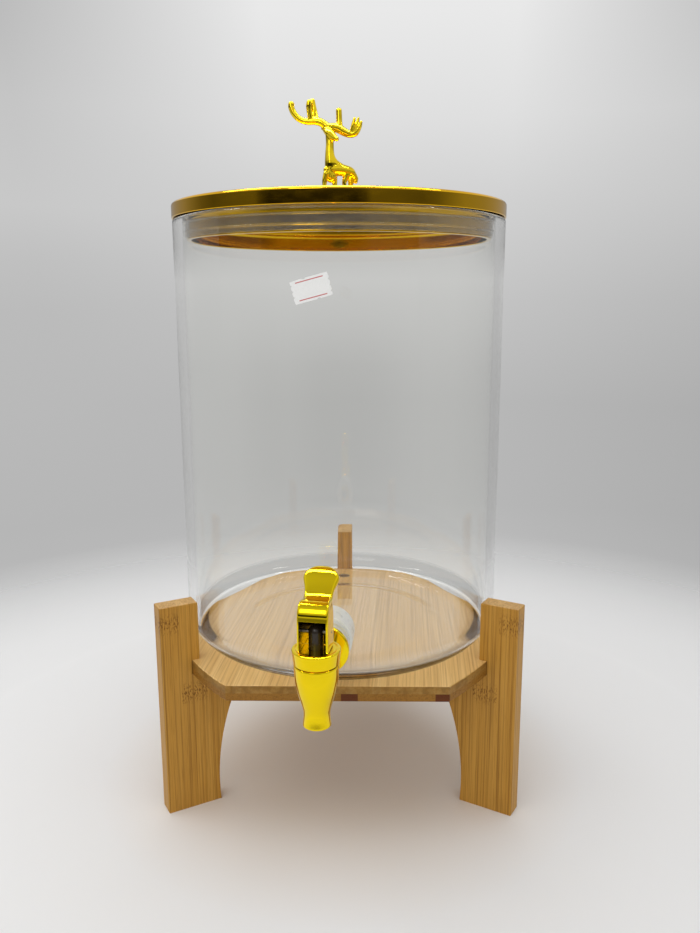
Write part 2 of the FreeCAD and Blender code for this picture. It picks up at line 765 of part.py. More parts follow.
antlers = [[(-5.0, -1.6, 42.4, 2.0), (-8.0, -1.0, 44.0, 2.0), (-11.3, -0.8, 46.0, 2.0),
            (-15.1, -0.6, 46.9, 2.0), (-18.9, -0.6, 46.6, 1.8), (-22.7, -0.6, 47.3, 1.7),
            (-25.9, -0.6, 49.1, 1.6), (-28.4, -0.6, 51.9, 1.6), (-29.8, -0.6, 55.1, 1.6),
            (-29.9, -0.6, 57.2, 1.6)],
           [(-17.2, -0.6, 47.2, 1.6), (-18.2, -0.8, 52.5, 1.5), (-18.7, -0.8, 56.1, 1.4),
            (-18.3, -0.8, 58.2, 1.4)],
           [(-14.6, -0.4, 47.4, 1.7), (-15.6, 0.2, 51.6, 1.5), (-16.4, 0.6, 56.0, 1.4),
            (-17.0, 0.6, 59.5, 1.4)],
           [(-6.0, -1.6, 42.8, 2.2), (-2.9, -1.0, 43.0, 2.3), (0.5, -0.6, 42.2, 2.3),
            (3.8, -0.6, 40.2, 2.2), (7.2, -0.6, 38.8, 1.9), (10.2, -0.6, 39.4, 1.9),
            (12.0, -0.6, 41.2, 1.6)],
           [(0.5, -0.6, 43.0, 1.9), (0.4, -0.6, 46.2, 1.6), (0.3, -0.6, 50.6, 1.5),
            (0.2, -0.6, 53.2, 1.5)],
           [(8.4, -1.0, 39.6, 1.5), (9.3, -1.8, 44.1, 1.2), (10.1, -2.0, 47.8, 0.7)],
           [(10.6, -0.4, 40.2, 1.6), (11.6, 0.0, 44.8, 1.2), (12.4, 0.2, 48.2, 0.7)],
           [(11.9, -0.6, 40.8, 1.5), (13.5, -1.2, 43.2, 1.2), (14.3, -1.4, 45.6, 0.8)]]


def limb(points):
    # A tapered round form through circles square to its line, their seams all on one side
    places = [vec(x, y, z) for x, y, z, radius in points]
    sections = []
    for index, place in enumerate(places):
        before = places[max(index - 1, 0)]
        after = places[min(index + 1, len(places) - 1)]
        along = (after - before).normalize()
        circle = Part.Circle(place, along, points[index][3])
        circle.XAxis = along.cross(Y).normalize()
        sections.append(Part.Wire([circle.toShape()]))
    return Part.makeLoft(sections, True, False)


def rounded_end(point):
    x, y, z, radius = point
    return Part.makeSphere(radius * 0.995, vec(x, y, z))


def deer_knob():
    forms = [torso, withers, neck, head, tail] + ears + legs + antlers
    round_tips = [torso[0], torso[-1], head[0], head[-1], tail[-1]] + [antler[-1] for antler in antlers]
    solids = [limb(form) for form in forms] + [rounded_end(tip) for tip in round_tips]
    base = Part.makeCylinder(plinth_radius, plinth_height, vec(0, 0, -plinth_height), Z)
    base = round_edges(base, 1.2, at_height(0))
    deer = base
    for solid in solids:
        deer = deer.fuse(solid)
    below = Part.makeBox(60, 60, 30, vec(-30, -30, -plinth_height - 30))
    deer = deer.cut(below)
    deer.translate(vec(0, 0, deer_foot))
    hole = disc(lid_screw_radius + thread_clearance, lid_top, deer_foot - screw_cover)
    return deer.cut(hole)


os.makedirs("parts", exist_ok=True)

export("stand_top_ply", stand_ply(plate_top - ply_thickness, plate_top, plate_top))
export("stand_bottom_ply", stand_ply(plate_bottom, plate_bottom + ply_thickness, plate_bottom))
for name, angle in leg_angles.items():
    export(name, stand_leg(angle))
export("leg_screws", leg_screws())

export("glass_jar", glass_jar())
export("price_label", price_label())
export("outer_washer", outer_washer())
export("inner_washer", inner_washer())
export("tap_nut", tap_nut())

export("tap_body", tap_body())
export("tap_bonnet", tap_bonnet())
export("bonnet_gasket", bonnet_gasket())
export("valve_spring", valve_spring())
export("valve_stem", valve_stem())
export("valve_seal", valve_seal())
export("tap_lever", tap_lever())
export("lever_pin", lever_pin())

export("lid_cap", lid_cap())
export("lid_core", lid_core())
export("lid_pan", lid_pan())
export("lid_seal", lid_seal())
export("lid_screw", lid_screw())
export("lid_screw_washer", lid_screw_washer())
export("deer_knob", deer_knob())
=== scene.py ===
# Glass drinks jar with a gold lid, a deer knob and a gold lever tap, on a bamboo stand.
# Piece sizes are in millimetres and are turned into metres where they are drawn.
import bpy
from math import atan2, cos, degrees, hypot, pi, radians, sin, sqrt
from mathutils import Euler, Matrix, Vector


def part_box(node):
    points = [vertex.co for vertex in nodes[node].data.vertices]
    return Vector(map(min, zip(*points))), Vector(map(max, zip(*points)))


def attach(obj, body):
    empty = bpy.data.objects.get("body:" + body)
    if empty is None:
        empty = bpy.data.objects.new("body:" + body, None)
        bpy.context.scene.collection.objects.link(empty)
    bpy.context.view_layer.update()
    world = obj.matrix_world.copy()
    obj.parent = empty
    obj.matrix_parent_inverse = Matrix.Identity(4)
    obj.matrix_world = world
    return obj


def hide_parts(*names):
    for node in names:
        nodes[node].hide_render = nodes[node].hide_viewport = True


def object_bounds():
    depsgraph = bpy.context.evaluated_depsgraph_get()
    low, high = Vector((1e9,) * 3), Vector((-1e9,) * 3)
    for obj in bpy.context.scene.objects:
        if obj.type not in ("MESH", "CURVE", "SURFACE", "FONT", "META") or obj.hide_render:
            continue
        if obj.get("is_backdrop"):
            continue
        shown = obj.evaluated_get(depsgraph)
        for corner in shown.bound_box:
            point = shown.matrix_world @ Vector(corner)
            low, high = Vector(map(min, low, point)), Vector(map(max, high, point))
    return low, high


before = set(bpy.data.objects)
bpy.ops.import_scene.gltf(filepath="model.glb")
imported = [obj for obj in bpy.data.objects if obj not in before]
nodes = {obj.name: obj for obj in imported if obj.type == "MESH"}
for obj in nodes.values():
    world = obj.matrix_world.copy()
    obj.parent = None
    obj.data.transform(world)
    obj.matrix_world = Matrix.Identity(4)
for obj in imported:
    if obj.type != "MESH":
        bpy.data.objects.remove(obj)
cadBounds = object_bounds()
mm = 0.001


def boxInMm(node):
    low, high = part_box(node)
    return [value / mm for value in low], [value / mm for value in high]


def centreOf(node, axis):
    low, high = boxInMm(node)
    return (low[axis] + high[axis]) / 2


(_, _, jarBase), (jarRadius, _, jarTop) = boxInMm("glass_jar")
capLow, capHigh = boxInMm("lid_cap")
panLow, panHigh = boxInMm("lid_pan")
nutLow, nutHigh = boxInMm("tap_nut")
sealOut, _, sealTop = boxInMm("lid_seal")[1]
deerBase = boxInMm("deer_knob")[0][2]
stemBase = boxInMm("valve_stem")[0][2]

tapY = centreOf("tap_bonnet", 1)
tailZ = centreOf("tap_nut", 2)
pinZ = centreOf("lever_pin", 2)
labelZ = centreOf("price_label", 2)


# Drawing helpers

def setMode(mode):
    bpy.ops.object.mode_set(mode=mode)


def deselectAll():
    if bpy.context.object and bpy.context.object.mode != "OBJECT":
        setMode("OBJECT")
    bpy.ops.object.select_all(action="DESELECT")


def select(*pieces):
    deselectAll()
    for piece in pieces:
        piece.select_set(True)
    bpy.context.view_layer.objects.active = pieces[0]


def selectMesh(what="SELECT"):
    bpy.ops.mesh.select_all(action=what)


def settle(piece):
    # The object's place, turn and size go into its mesh
    select(piece)
    bpy.ops.object.transform_apply(location=True, rotation=True, scale=True)


def modify(piece, kind, **settings):
    select(piece)
    bpy.ops.object.modifier_add(type=kind)
    modifier = piece.modifiers[-1]
    for name, value in settings.items():
        setattr(modifier, name, value)
    bpy.ops.object.modifier_apply(modifier=modifier.name)


def arc(centre, radius, start, end, parts=8):
    points = []
    for part in range(parts + 1):
        angle = radians(start + (end - start) * part / parts)
        points.append((centre[0] + radius * cos(angle), centre[1] + radius * sin(angle)))
    return points


def arcThrough(start, middle, end, parts=8):
    # The round stretch from start to end that passes through middle
    (ax, ay), (bx, by), (cx, cy) = start, middle, end
    d = 2 * (ax * (by - cy) + bx * (cy - ay) + cx * (ay - by))
    ux = ((ax * ax + ay * ay) * (by - cy) + (bx * bx + by * by) * (cy - ay) + (cx * cx + cy * cy) * (ay - by)) / d
    uy = ((ax * ax + ay * ay) * (cx - bx) + (bx * bx + by * by) * (ax - cx) + (cx * cx + cy * cy) * (bx - ax)) / d
    first = atan2(ay - uy, ax - ux)
    mid = (atan2(by - uy, bx - ux) - first) % (2 * pi)
    last = (atan2(cy - uy, cx - ux) - first) % (2 * pi)
    if mid > last:
        last -= 2 * pi
    radius = hypot(ax - ux, ay - uy)
    return arc((ux, uy), radius, degrees(first), degrees(first + last), parts)


def smoothCurve(points, parts=6):
    # A smooth line through the points
    ends = [points[0]] + list(points) + [points[-1]]
    line = []
    for index in range(1, len(ends) - 2):
        before, here, after, beyond = ends[index - 1:index + 3]
        for part in range(parts):
            t = part / parts
            line.append(tuple(0.5 * (2 * b + (c - a) * t + (2 * a - 5 * b + 4 * c - d) * t * t
                                     + (3 * b - a - 3 * c + d) * t ** 3)
                              for a, b, c, d in zip(before, here, after, beyond)))
    return line + [tuple(points[-1])]


def drawLine(name, points, close=False):
    # One vertex, extruded from point to point. The object stays in edit mode
    deselectAll()
    spots = [Vector(point) * mm for point in points]
    bpy.ops.mesh.primitive_plane_add(size=mm, location=spots[0])
    piece = bpy.context.object
    piece.name = name
    setMode("EDIT")
    selectMesh()
    bpy.ops.mesh.merge(type="CENTER")
    for here, after in zip(spots, spots[1:]):
        bpy.ops.mesh.extrude_vertices_move(TRANSFORM_OT_translate={"value": after - here})
    if close:
        selectMesh()
        bpy.ops.mesh.edge_face_add()
    return piece


def finishMesh(piece, sharp=30, flat=True):
    # Doubles merged, faces outward, the object at the origin, and a smooth finish
    settle(piece)
    setMode("EDIT")
    selectMesh()
    bpy.ops.mesh.remove_doubles(threshold=0.004 * mm)
    bpy.ops.mesh.normals_make_consistent(inside=False)
    setMode("OBJECT")
    bpy.ops.object.shade_smooth_by_angle(angle=radians(sharp))
    if flat:  # long faces stay flat beside small roundings
        modify(piece, "WEIGHTED_NORMAL", weight=100, keep_sharp=True)
    return piece


def turned(name, outline, centre=(0, 0, 0), alongY=False, steps=160, sharp=30):
    # An outline of (distance, height) spun about an upright axis, or one along Y
    x, y, z = centre
    piece = drawLine(name, [(x + r, h, z) if alongY else (x + r, y, h) for r, h in outline])
    selectMesh()
    bpy.ops.mesh.spin(steps=steps, angle=2 * pi, center=Vector(centre) * mm,
                      axis=(0, 1, 0) if alongY else (0, 0, 1))
    setMode("OBJECT")
    return finishMesh(piece, sharp)


def prism(name, outline, low, high, alongY=False):
    # A closed outline pulled along X or Y
    pull = (0, high - low, 0) if alongY else (high - low, 0, 0)
    piece = drawLine(name, [(a, low, b) if alongY else (low, a, b) for a, b in outline], close=True)
    bpy.ops.mesh.extrude_region_move(TRANSFORM_OT_translate={"value": Vector(pull) * mm})
    setMode("OBJECT")
    return finishMesh(piece)


def combine(piece, tool, how):
    modify(piece, "BOOLEAN", operation=how, solver="EXACT", material_mode="TRANSFER", object=tool)
    bpy.data.objects.remove(tool)


def bore(piece, radius, near, far, z, y=None, sides=32):
    # A round hole along Y from near to far, or along X where y is given
    if y is None:
        place, turn = (0, (near + far) / 2, z), (pi / 2, 0, 0)
    else:
        place, turn = ((near + far) / 2, y, z), (0, pi / 2, 0)
    deselectAll()
    bpy.ops.mesh.primitive_cylinder_add(vertices=sides, radius=radius * mm, depth=abs(far - near) * mm,
                                        location=Vector(place) * mm, rotation=turn)
    combine(piece, bpy.context.object, "DIFFERENCE")


def joined(*pieces):
    select(*pieces)
    bpy.ops.object.join()
    return pieces[0]


def dress(piece, material, body, slot, *replaced):
    if material:
        piece.data.materials.clear()
        piece.data.materials.append(material)
    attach(piece, body)
    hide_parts(*replaced)


def letLightThrough(piece):
    # Clear pieces don't darken what is behind them
    piece.visible_shadow = False
    piece.visible_diffuse = False


def coat(material, *names):
    # CAD pieces that keep their shape
    for name in names:
        nodes[name].data.materials.clear()
        nodes[name].data.materials.append(material)


# Material helpers

def newMaterial(name, finish):
    material = bpy.data.materials.new(name)
    material.use_nodes = True
    tree = material.node_tree
    shader = tree.nodes["Principled BSDF"]
    for socket, value in finish.items():
        shader.inputs[socket].default_value = value
    return material, tree, shader


def add(tree, kind, settings=None, **inputs):
    # Inputs go by name, or by place as i0, i1 and so on
    node = tree.nodes.new("ShaderNode" + kind)
    for name, value in (settings or {}).items():
        setattr(node, name, value)
    for name, value in inputs.items():
        socket = node.inputs[int(name[1:]) if name[1:].isdigit() else name]
        if isinstance(value, bpy.types.NodeSocket):
            tree.links.new(value, socket)
        else:
            socket.default_value = value
    return node


def coordinates(tree, turn=0, stretch=(1, 1, 1)):
    place = add(tree, "TexCoord").outputs["Object"]
    angles = (0, 0, radians(turn))
    return add(tree, "Mapping", Vector=place, Rotation=angles, Scale=stretch).outputs["Vector"]


def separate(tree, vector):
    return add(tree, "SeparateXYZ", Vector=vector).outputs


def noise(tree, where, scale, detail=3, rough=0.55):
    node = add(tree, "TexNoise", Vector=where, Scale=scale, Detail=detail, Roughness=rough)
    return node.outputs["Fac"]


def remap(tree, value, low, high, newLow=0, newHigh=1):
    return add(tree, "MapRange", i0=value, i1=low, i2=high, i3=newLow, i4=newHigh).outputs["Result"]


def mathNode(tree, what, first, second=0.0):
    return add(tree, "Math", {"operation": what}, i0=first, i1=second).outputs[0]


def mixColours(tree, amount, first, second):
    return add(tree, "Mix", {"data_type": "RGBA"}, i0=amount, i6=first, i7=second).outputs[2]


def bump(tree, shader, height, strength, distance):
    node = add(tree, "Bump", Height=height, Strength=strength, Distance=distance)
    tree.links.new(node.outputs["Normal"], shader.inputs["Normal"])


def rgb(red, green, blue):
    # A colour as read on a screen, made linear
    return tuple(((v / 255 + 0.055) / 1.055) ** 2.4 if v > 10 else v / 255 / 12.92
                 for v in (red, green, blue)) + (1.0,)


# Finishes

glassFinish = {"tint": (0.998, 1.0, 0.987, 1), "ior": 1.46, "waves": 9, "waveStrength": 0.12, "waveDepth": 0.4}


def glassMaterial(values):
    material, tree, shader = newMaterial("clearGlass", {
        "Base Color": values["tint"], "Roughness": 0.0, "IOR": values["ior"], "Transmission Weight": 1.0})
    waves = noise(tree, coordinates(tree), values["waves"], 1)
    bump(tree, shader, waves, values["waveStrength"], values["waveDepth"] * mm)
    return material


goldFinishes = {
    "lidGold": {"light": (0.96, 0.56, 0.015, 1), "deep": (0.9, 0.47, 0.008, 1), "smear": (0.04, 0.1), "scale": 25},
    "panGold": {"light": (0.76, 0.47, 0.012, 1), "deep": (0.66, 0.38, 0.006, 1), "smear": (0.04, 0.1), "scale": 25},
    "tapGold": {"light": (1.0, 0.77, 0.006, 1), "deep": (0.95, 0.67, 0.004, 1), "smear": (0.025, 0.06), "scale": 60},
    # The lever's pocket: thin, dull plating, darkened further by painted shade above the pin
    "tapShadedInside": {"light": (0.16, 0.10, 0.01, 1), "deep": (0.03, 0.015, 0.006, 1), "smear": (0.12, 0.3),
                  "scale": 120, "below": pinZ - 1, "fade": 3},
    "knobGold": {"light": (1.0, 0.76, 0.02, 1), "deep": (0.94, 0.64, 0.01, 1), "smear": (0.04, 0.08), "scale": 90}}
plating = {"rubFiner": 4, "rubStretch": (1, 1, 2.5), "rubEnds": (0.35, 0.7), "skinFiner": 9, "skin": (0.04, 0.2 * mm)}


def goldMaterial(name, values, plating):
    material, tree, shader = newMaterial(name, {"Metallic": 1.0, "Coat Weight": 0.12, "Coat Roughness": 0.03})
    scale = values["scale"]
    where = coordinates(tree)
    cloud = noise(tree, where, scale, 3)
    colour = mixColours(tree, cloud, values["light"], values["deep"])
    if "below" in values:  # bright plating on the lower part, the dark painted shade above it
        height = separate(tree, where)["Z"]
        lower = remap(tree, height, (values["below"] - values["fade"]) * mm, values["below"] * mm, 1, 0)
        colour = mixColours(tree, lower, colour, goldFinishes["tapGold"]["light"])
    tree.links.new(colour, shader.inputs["Base Color"])
    rub = noise(tree, coordinates(tree, stretch=plating["rubStretch"]), scale * plating["rubFiner"], 4)
    tree.links.new(remap(tree, rub, *plating["rubEnds"], *values["smear"]), shader.inputs["Roughness"])
    bump(tree, shader, noise(tree, where, scale * plating["skinFiner"], 2), *plating["skin"])
    return material


# Strips and stained stretches are in millimetres
bambooFinish = {
    "board": {"pale": rgb(228, 190, 122), "warm": rgb(208, 162, 88), "dark": rgb(150, 98, 32), "strip": 5.2,
              "lines": 0.4, "side": rgb(112, 76, 10), "top": rgb(228, 190, 122)},
    # The legs' top tone is a painted highlight on their level faces, such as their tops
    "leg": {"pale": rgb(200, 154, 76), "warm": rgb(176, 124, 42), "dark": rgb(98, 54, 4), "strip": 5.0,
            "lines": 0.5, "knots": 0.75, "side": rgb(196, 146, 62), "top": rgb(244, 204, 140)},
    "under": {"pale": rgb(176, 132, 60), "warm": rgb(150, 104, 36), "dark": rgb(88, 50, 14), "strip": 10.6,
              "lines": 0.4, "stained": [(7.2, 5.2), (62.6, 4.4)],
              "side": rgb(150, 104, 36), "top": rgb(176, 132, 60)}}

# A noise's scales across and along the fibres, its detail and roughness, then where it starts and ends, and its
# share of the lines' strength. The knots' spacing is in metres
bambooGrain = {"broad": ((210, 4, 3, 0.55), (0.4, 0.62), 0.8), "lines": ((980, 7, 3, 0.6), (0.46, 0.66), 1.0),
               "pores": ((2300, 60, 2, 0.5), (0.55, 0.75), 0.7), "dots": (1300, 500, 2, 0.6), "plank": 17,
               "sideFade": (0.4, 0.7, 0.85, 0), "topFade": (0.6, 0.9, 0, 0.6),
               "knotEvery": 0.14, "knotEnds": (0.015, 0.06), "dotEnds": (0.5, 0.6),
               "stain": rgb(84, 28, 2), "stainEdge": 0.3, "stainStrength": 0.85, "gloss": (0.3, 0.8, 0.4, 0.6),
               "relief": (0.25, 0.12 * mm)}


def bambooMaterial(name, values, grain, turn, upright):
    # Strips with their own tone, dense dark fibre lines along them, and a speckled knot now and then
    material, tree, shader = newMaterial(name, {"Roughness": 0.45, "Specular IOR Level": 0.2,
                                                "Coat Weight": 0.06, "Coat Roughness": 0.3})
    split = separate(tree, coordinates(tree, turn))
    across, along = split["X"], split["Z" if upright else "Y"]

    def streaks(fine, long, detail, rough):
        stretch = (fine, fine, long) if upright else (fine, long, fine)
        return noise(tree, coordinates(tree, turn, stretch=stretch), 1, detail, rough)

    strip = mathNode(tree, "FLOOR", mathNode(tree, "DIVIDE", across, values["strip"] * mm))
    luck = add(tree, "TexWhiteNoise", {"noise_dimensions": "1D"}, W=strip).outputs["Value"]
    tone = mixColours(tree, luck, values["pale"], values["warm"])
    # Faces take the side or top tone by how level they are: the board's dark side tone is its end grain, the legs'
    # light top tone a painted highlight
    facing = add(tree, "TexCoord").outputs["Normal"]
    level = mathNode(tree, "ABSOLUTE", separate(tree, facing)["Z"])
    for side in ("side", "top"):
        tone = mixColours(tree, remap(tree, level, *grain[side + "Fade"]), tone, values[side])
    marks = {}
    for kind, colour in (("broad", "warm"), ("lines", "dark"), ("pores", "dark")):
        scales, ends, share = grain[kind]
        marks[kind] = streaks(*scales)
        amount = remap(tree, marks[kind], *ends, 0, values["lines"] * share)
        tone = mixColours(tree, amount, tone, values[colour])
    if "knots" in values:
        plank = mathNode(tree, "FLOOR", mathNode(tree, "DIVIDE", across, grain["plank"] * mm))
        chance = add(tree, "TexWhiteNoise", {"noise_dimensions": "1D"}, W=plank).outputs["Value"]
        place = mathNode(tree, "ADD", mathNode(tree, "DIVIDE", along, grain["knotEvery"]), chance)
        height = mathNode(tree, "ABSOLUTE", mathNode(tree, "SUBTRACT", mathNode(tree, "FRACT", place), 0.5))
        ring = remap(tree, height, *grain["knotEnds"], values["knots"], 0)
        dots = remap(tree, streaks(*grain["dots"]), *grain["dotEnds"])
        tone = mixColours(tree, mathNode(tree, "MULTIPLY", ring, dots), tone, values["dark"])
    for place, width in values.get("stained", []):
        aside = mathNode(tree, "ABSOLUTE", mathNode(tree, "SUBTRACT", across, place * mm))
        stain = remap(tree, aside, (width - grain["stainEdge"]) * mm, width * mm, grain["stainStrength"], 0)
        tone = mixColours(tree, stain, tone, grain["stain"])
    tree.links.new(tone, shader.inputs["Base Color"])
    tree.links.new(remap(tree, marks["lines"], *grain["gloss"]), shader.inputs["Roughness"])
    bump(tree, shader, marks["lines"], *grain["relief"])
    return material


def plainMaterial(name, finish, light, dark, scale, roughness, height=0.1, depth=0.1):
    # A moulded or cast finish: cloudy tone, uneven gloss and a fine skin
    material, tree, shader = newMaterial(name, finish)
    where = coordinates(tree)
    cloud = noise(tree, where, scale, 3)
    tree.links.new(mixColours(tree, cloud, rgb(*light), rgb(*dark)), shader.inputs["Base Color"])
    tree.links.new(remap(tree, noise(tree, where, scale * 3, 3), 0.3, 0.7, *roughness), shader.inputs["Roughness"])
    bump(tree, shader, noise(tree, where, scale * 12, 2), height, depth * mm)
    return material


labelFinish = {"paper": rgb(248, 248, 246), "fibre": rgb(205, 203, 198), "ink": rgb(196, 44, 40),
               "line": 0.55, "lineSoft": 0.2, "lineStrength": 0.85, "lineEnd": 0.2, "inset": 1.5, "grain": 900,
               "fibres": (0.3, 0.7, 0, 0.12), "relief": (0.15, 0.05 * mm)}
labelShape = {"width": 21.2, "height": 12.4, "tilt": 14.5, "swing": -2.9, "notch": 0.7, "teeth": 4, "rules": 7.6,
              "nick": [(1.6, 0), (2.2, 0.5), (3.4, 0.5), (4.0, 0)], "off": 0.05, "thick": 0.25, "band": 12,
              "toothEnds": (0.1, 0.6, 0.8), "toothSlant": 0.15, "cornerIn": 0.4}


def labelMaterial(values, shape):
    # White paper with a thin red rule near its upper edge and its lower edge
    material, tree, shader = newMaterial("labelPaper", {"Roughness": 0.55})
    source = add(tree, "TexCoord").outputs["Object"]
    centred = add(tree, "Mapping", Vector=source, Location=(0, 0, -labelZ * mm),
                  Rotation=(0, 0, radians(-shape["swing"]))).outputs["Vector"]
    level = add(tree, "Mapping", Vector=centred,
                Rotation=(0, radians(shape["tilt"]), 0)).outputs["Vector"]
    height = separate(tree, level)["Z"]
    fromRule = mathNode(tree, "ABSOLUTE", mathNode(
        tree, "SUBTRACT", mathNode(tree, "ABSOLUTE", height), (shape["height"] / 2 - values["inset"]) * mm))
    half, soft = values["line"] * mm / 2, values["lineSoft"]
    rule = remap(tree, fromRule, half * (1 - soft), half * (1 + soft), values["lineStrength"], 0)
    grain = noise(tree, source, values["grain"], 3)
    paper = mixColours(tree, remap(tree, grain, *values["fibres"]), values["paper"], values["fibre"])
    aside = mathNode(tree, "ABSOLUTE", separate(tree, level)["X"])
    end = (shape["rules"] + values["lineEnd"]) * mm
    rule = mathNode(tree, "MULTIPLY", rule, remap(tree, aside, shape["rules"] * mm, end, 1, 0))
    tree.links.new(mixColours(tree, rule, paper, values["ink"]), shader.inputs["Base Color"])
    bump(tree, shader, grain, *values["relief"])
    return material


clearGlass = glassMaterial(glassFinish)
lidGold, panGold, tapGold, tapShadedInside, knobGold = (
    goldMaterial(name, values, plating) for name, values in goldFinishes.items())
standTurn = 3.65
legAngles = {"leg_back": 90 + standTurn, "leg_left": 210 + standTurn, "leg_right": 330 + standTurn}
boardBamboo = bambooMaterial("boardBamboo", bambooFinish["board"], bambooGrain, -standTurn, False)
underBamboo = bambooMaterial("underBamboo", bambooFinish["under"], bambooGrain, -standTurn, False)
legBamboo = {name: bambooMaterial("bamboo_" + name, bambooFinish["leg"], bambooGrain, -angle, True)
             for name, angle in legAngles.items()}
whitePlastic = plainMaterial("whitePlastic", {"IOR": 1.5}, (236, 236, 231), (222, 222, 216), 60, (0.25, 0.4))
whiteRubber = plainMaterial("whiteRubber", {}, (226, 226, 221), (208, 208, 202), 90, (0.5, 0.7), 0.2)
darkRubber = plainMaterial("darkRubber", {}, (44, 43, 42), (28, 28, 28), 90, (0.5, 0.75), 0.2)
stemPlastic = plainMaterial("stemPlastic", {}, (52, 40, 26), (30, 24, 18), 80, (0.15, 0.3))
springSteel = plainMaterial("springSteel", {"Metallic": 1.0},
                            (190, 190, 188), (160, 160, 158), 200, (0.15, 0.3))
zincSteel = plainMaterial("zincSteel", {"Metallic": 1.0},
                          (166, 160, 146), (118, 112, 98), 260, (0.25, 0.5), 0.2)
coreBoard = plainMaterial("coreBoard", {}, (178, 146, 106), (140, 108, 72), 300, (0.7, 0.9), 0.3)
silicone = plainMaterial("silicone", {"Transmission Weight": 0.9, "IOR": 1.41},
                         (246, 246, 243), (236, 236, 230), 40, (0.12, 0.2), 0.015)
labelPaper = labelMaterial(labelFinish, labelShape)
print("finishes made")


# Stand

coat(boardBamboo, "stand_top_ply")
coat(underBamboo, "stand_bottom_ply")
for name, material in legBamboo.items():
    coat(material, name)
coat(zincSteel, "leg_screws")
print("stand dressed")


# Jar

jarShape = {"wall": 6, "floor": 9, "heel": 22, "innerHeel": 3, "lip": 2, "footRing": 72, "pushUp": 0.5,
            "slope": 12, "slopeSteps": 8, "tapHole": 8.3, "wallParts": 4}


def makeJar(values):
    inside = jarRadius - values["wall"]
    floor = jarBase + values["floor"]
    heel = values["heel"]
    inner = values["innerHeel"]
    lip = values["lip"]
    outline = [(0, jarBase + values["pushUp"])]
    steps = values["slopeSteps"]
    for step in range(steps + 1):
        rise = values["pushUp"] * (1 + cos(pi * step / steps)) / 2
        outline += [(values["footRing"] - values["slope"] * (1 - step / steps), jarBase + rise)]
    outline += arc((jarRadius - heel, jarBase + heel), heel, -90, 0, 20)
    part = (jarTop - jarBase - heel - lip) / values["wallParts"]
    outline += [(jarRadius, jarBase + heel + step * part) for step in range(1, values["wallParts"])]
    outline += arc((jarRadius - lip, jarTop - lip), lip, 0, 90, 6)
    outline += arc((inside + lip, jarTop - lip), lip, 90, 180, 6)
    outline += arc((inside - inner, floor + inner), inner, 0, -90, 10)
    outline += [(inside - 5 * inner, floor), (inside / 2, floor), (0, floor)]
    jar = turned("glassJar", outline, steps=192)
    bore(jar, values["tapHole"], -jarRadius - values["wall"], -inside + values["wall"], tailZ, sides=64)
    finishMesh(jar)
    dress(jar, clearGlass, "jar", "clear_glass", "glass_jar")
    letLightThrough(jar)


def makeLabel(values):
    # A price-gun label with toothed short ends and a nick in each long edge, laid on the glass
    wide, tall, teeth = values["width"] / 2, values["height"] / 2, values["teeth"]
    step = 2 * tall / teeth
    right = [(across, depth - tall) for across, depth in values["nick"]]
    start, end, dip = values["toothEnds"]
    for tooth in range(teeth):
        base = -tall + step * tooth
        right += [(wide, base + start * step), (wide - values["toothSlant"], base + end * step)]
        if tooth < teeth - 1:
            right += [(wide - values["notch"], base + dip * step)]
    right += [(wide - values["cornerIn"], tall)]
    left = [(-across, -height) for across, height in right]
    band = values["band"]
    patch = prism("labelCut", right + left, -jarRadius - band, -jarRadius + band, alongY=True)
    patch.rotation_euler = (0, radians(-values["tilt"]), 0)
    patch.location = (0, 0, labelZ * mm)
    settle(patch)
    patch.rotation_euler = (0, 0, radians(values["swing"]))
    settle(patch)
    inner = jarRadius + values["off"]
    outer = inner + values["thick"]
    low, high = labelZ - band, labelZ + band
    outline = [(inner, low), (outer, low), (outer, high), (inner, high), (inner, low)]
    label = turned("priceLabel", outline, steps=192)
    combine(label, patch, "INTERSECT")
    finishMesh(label)
    dress(label, labelPaper, "jar", "label_film", "price_label")


makeJar(jarShape)
makeLabel(labelShape)
print("jar made")


# Tap

# The barrel's drops are its radii at depths below the shoulder
barrelShape = {"shoulder": 7.5, "topRadius": 12.1, "drops": [(8, 11.7), (15.3, 10.4), (20.7, 8.9), (26, 7.5),
               (29.6, 7.25)], "length": 35, "tipRadius": 7.75, "bore": 5.2, "seat": 17, "chamber": 8,
               "collar": 10.2, "collarHeight": 5.5, "edge": 0.5}
tailShape = {"flange": 14.5, "flangeFace": 3, "flangeEdge": 0.8, "backEdge": 0.3, "washer": 3, "tail": 7.9,
             "bore": 4.2, "inside": 26, "neck": 7, "neckStart": 1.5, "fillet": 1.6, "endEdge": (0.6, 0.4),
             "thread": 0.5, "pitch": 1.6, "threads": 15, "profile": (0.5, 0.8, 1.3)}


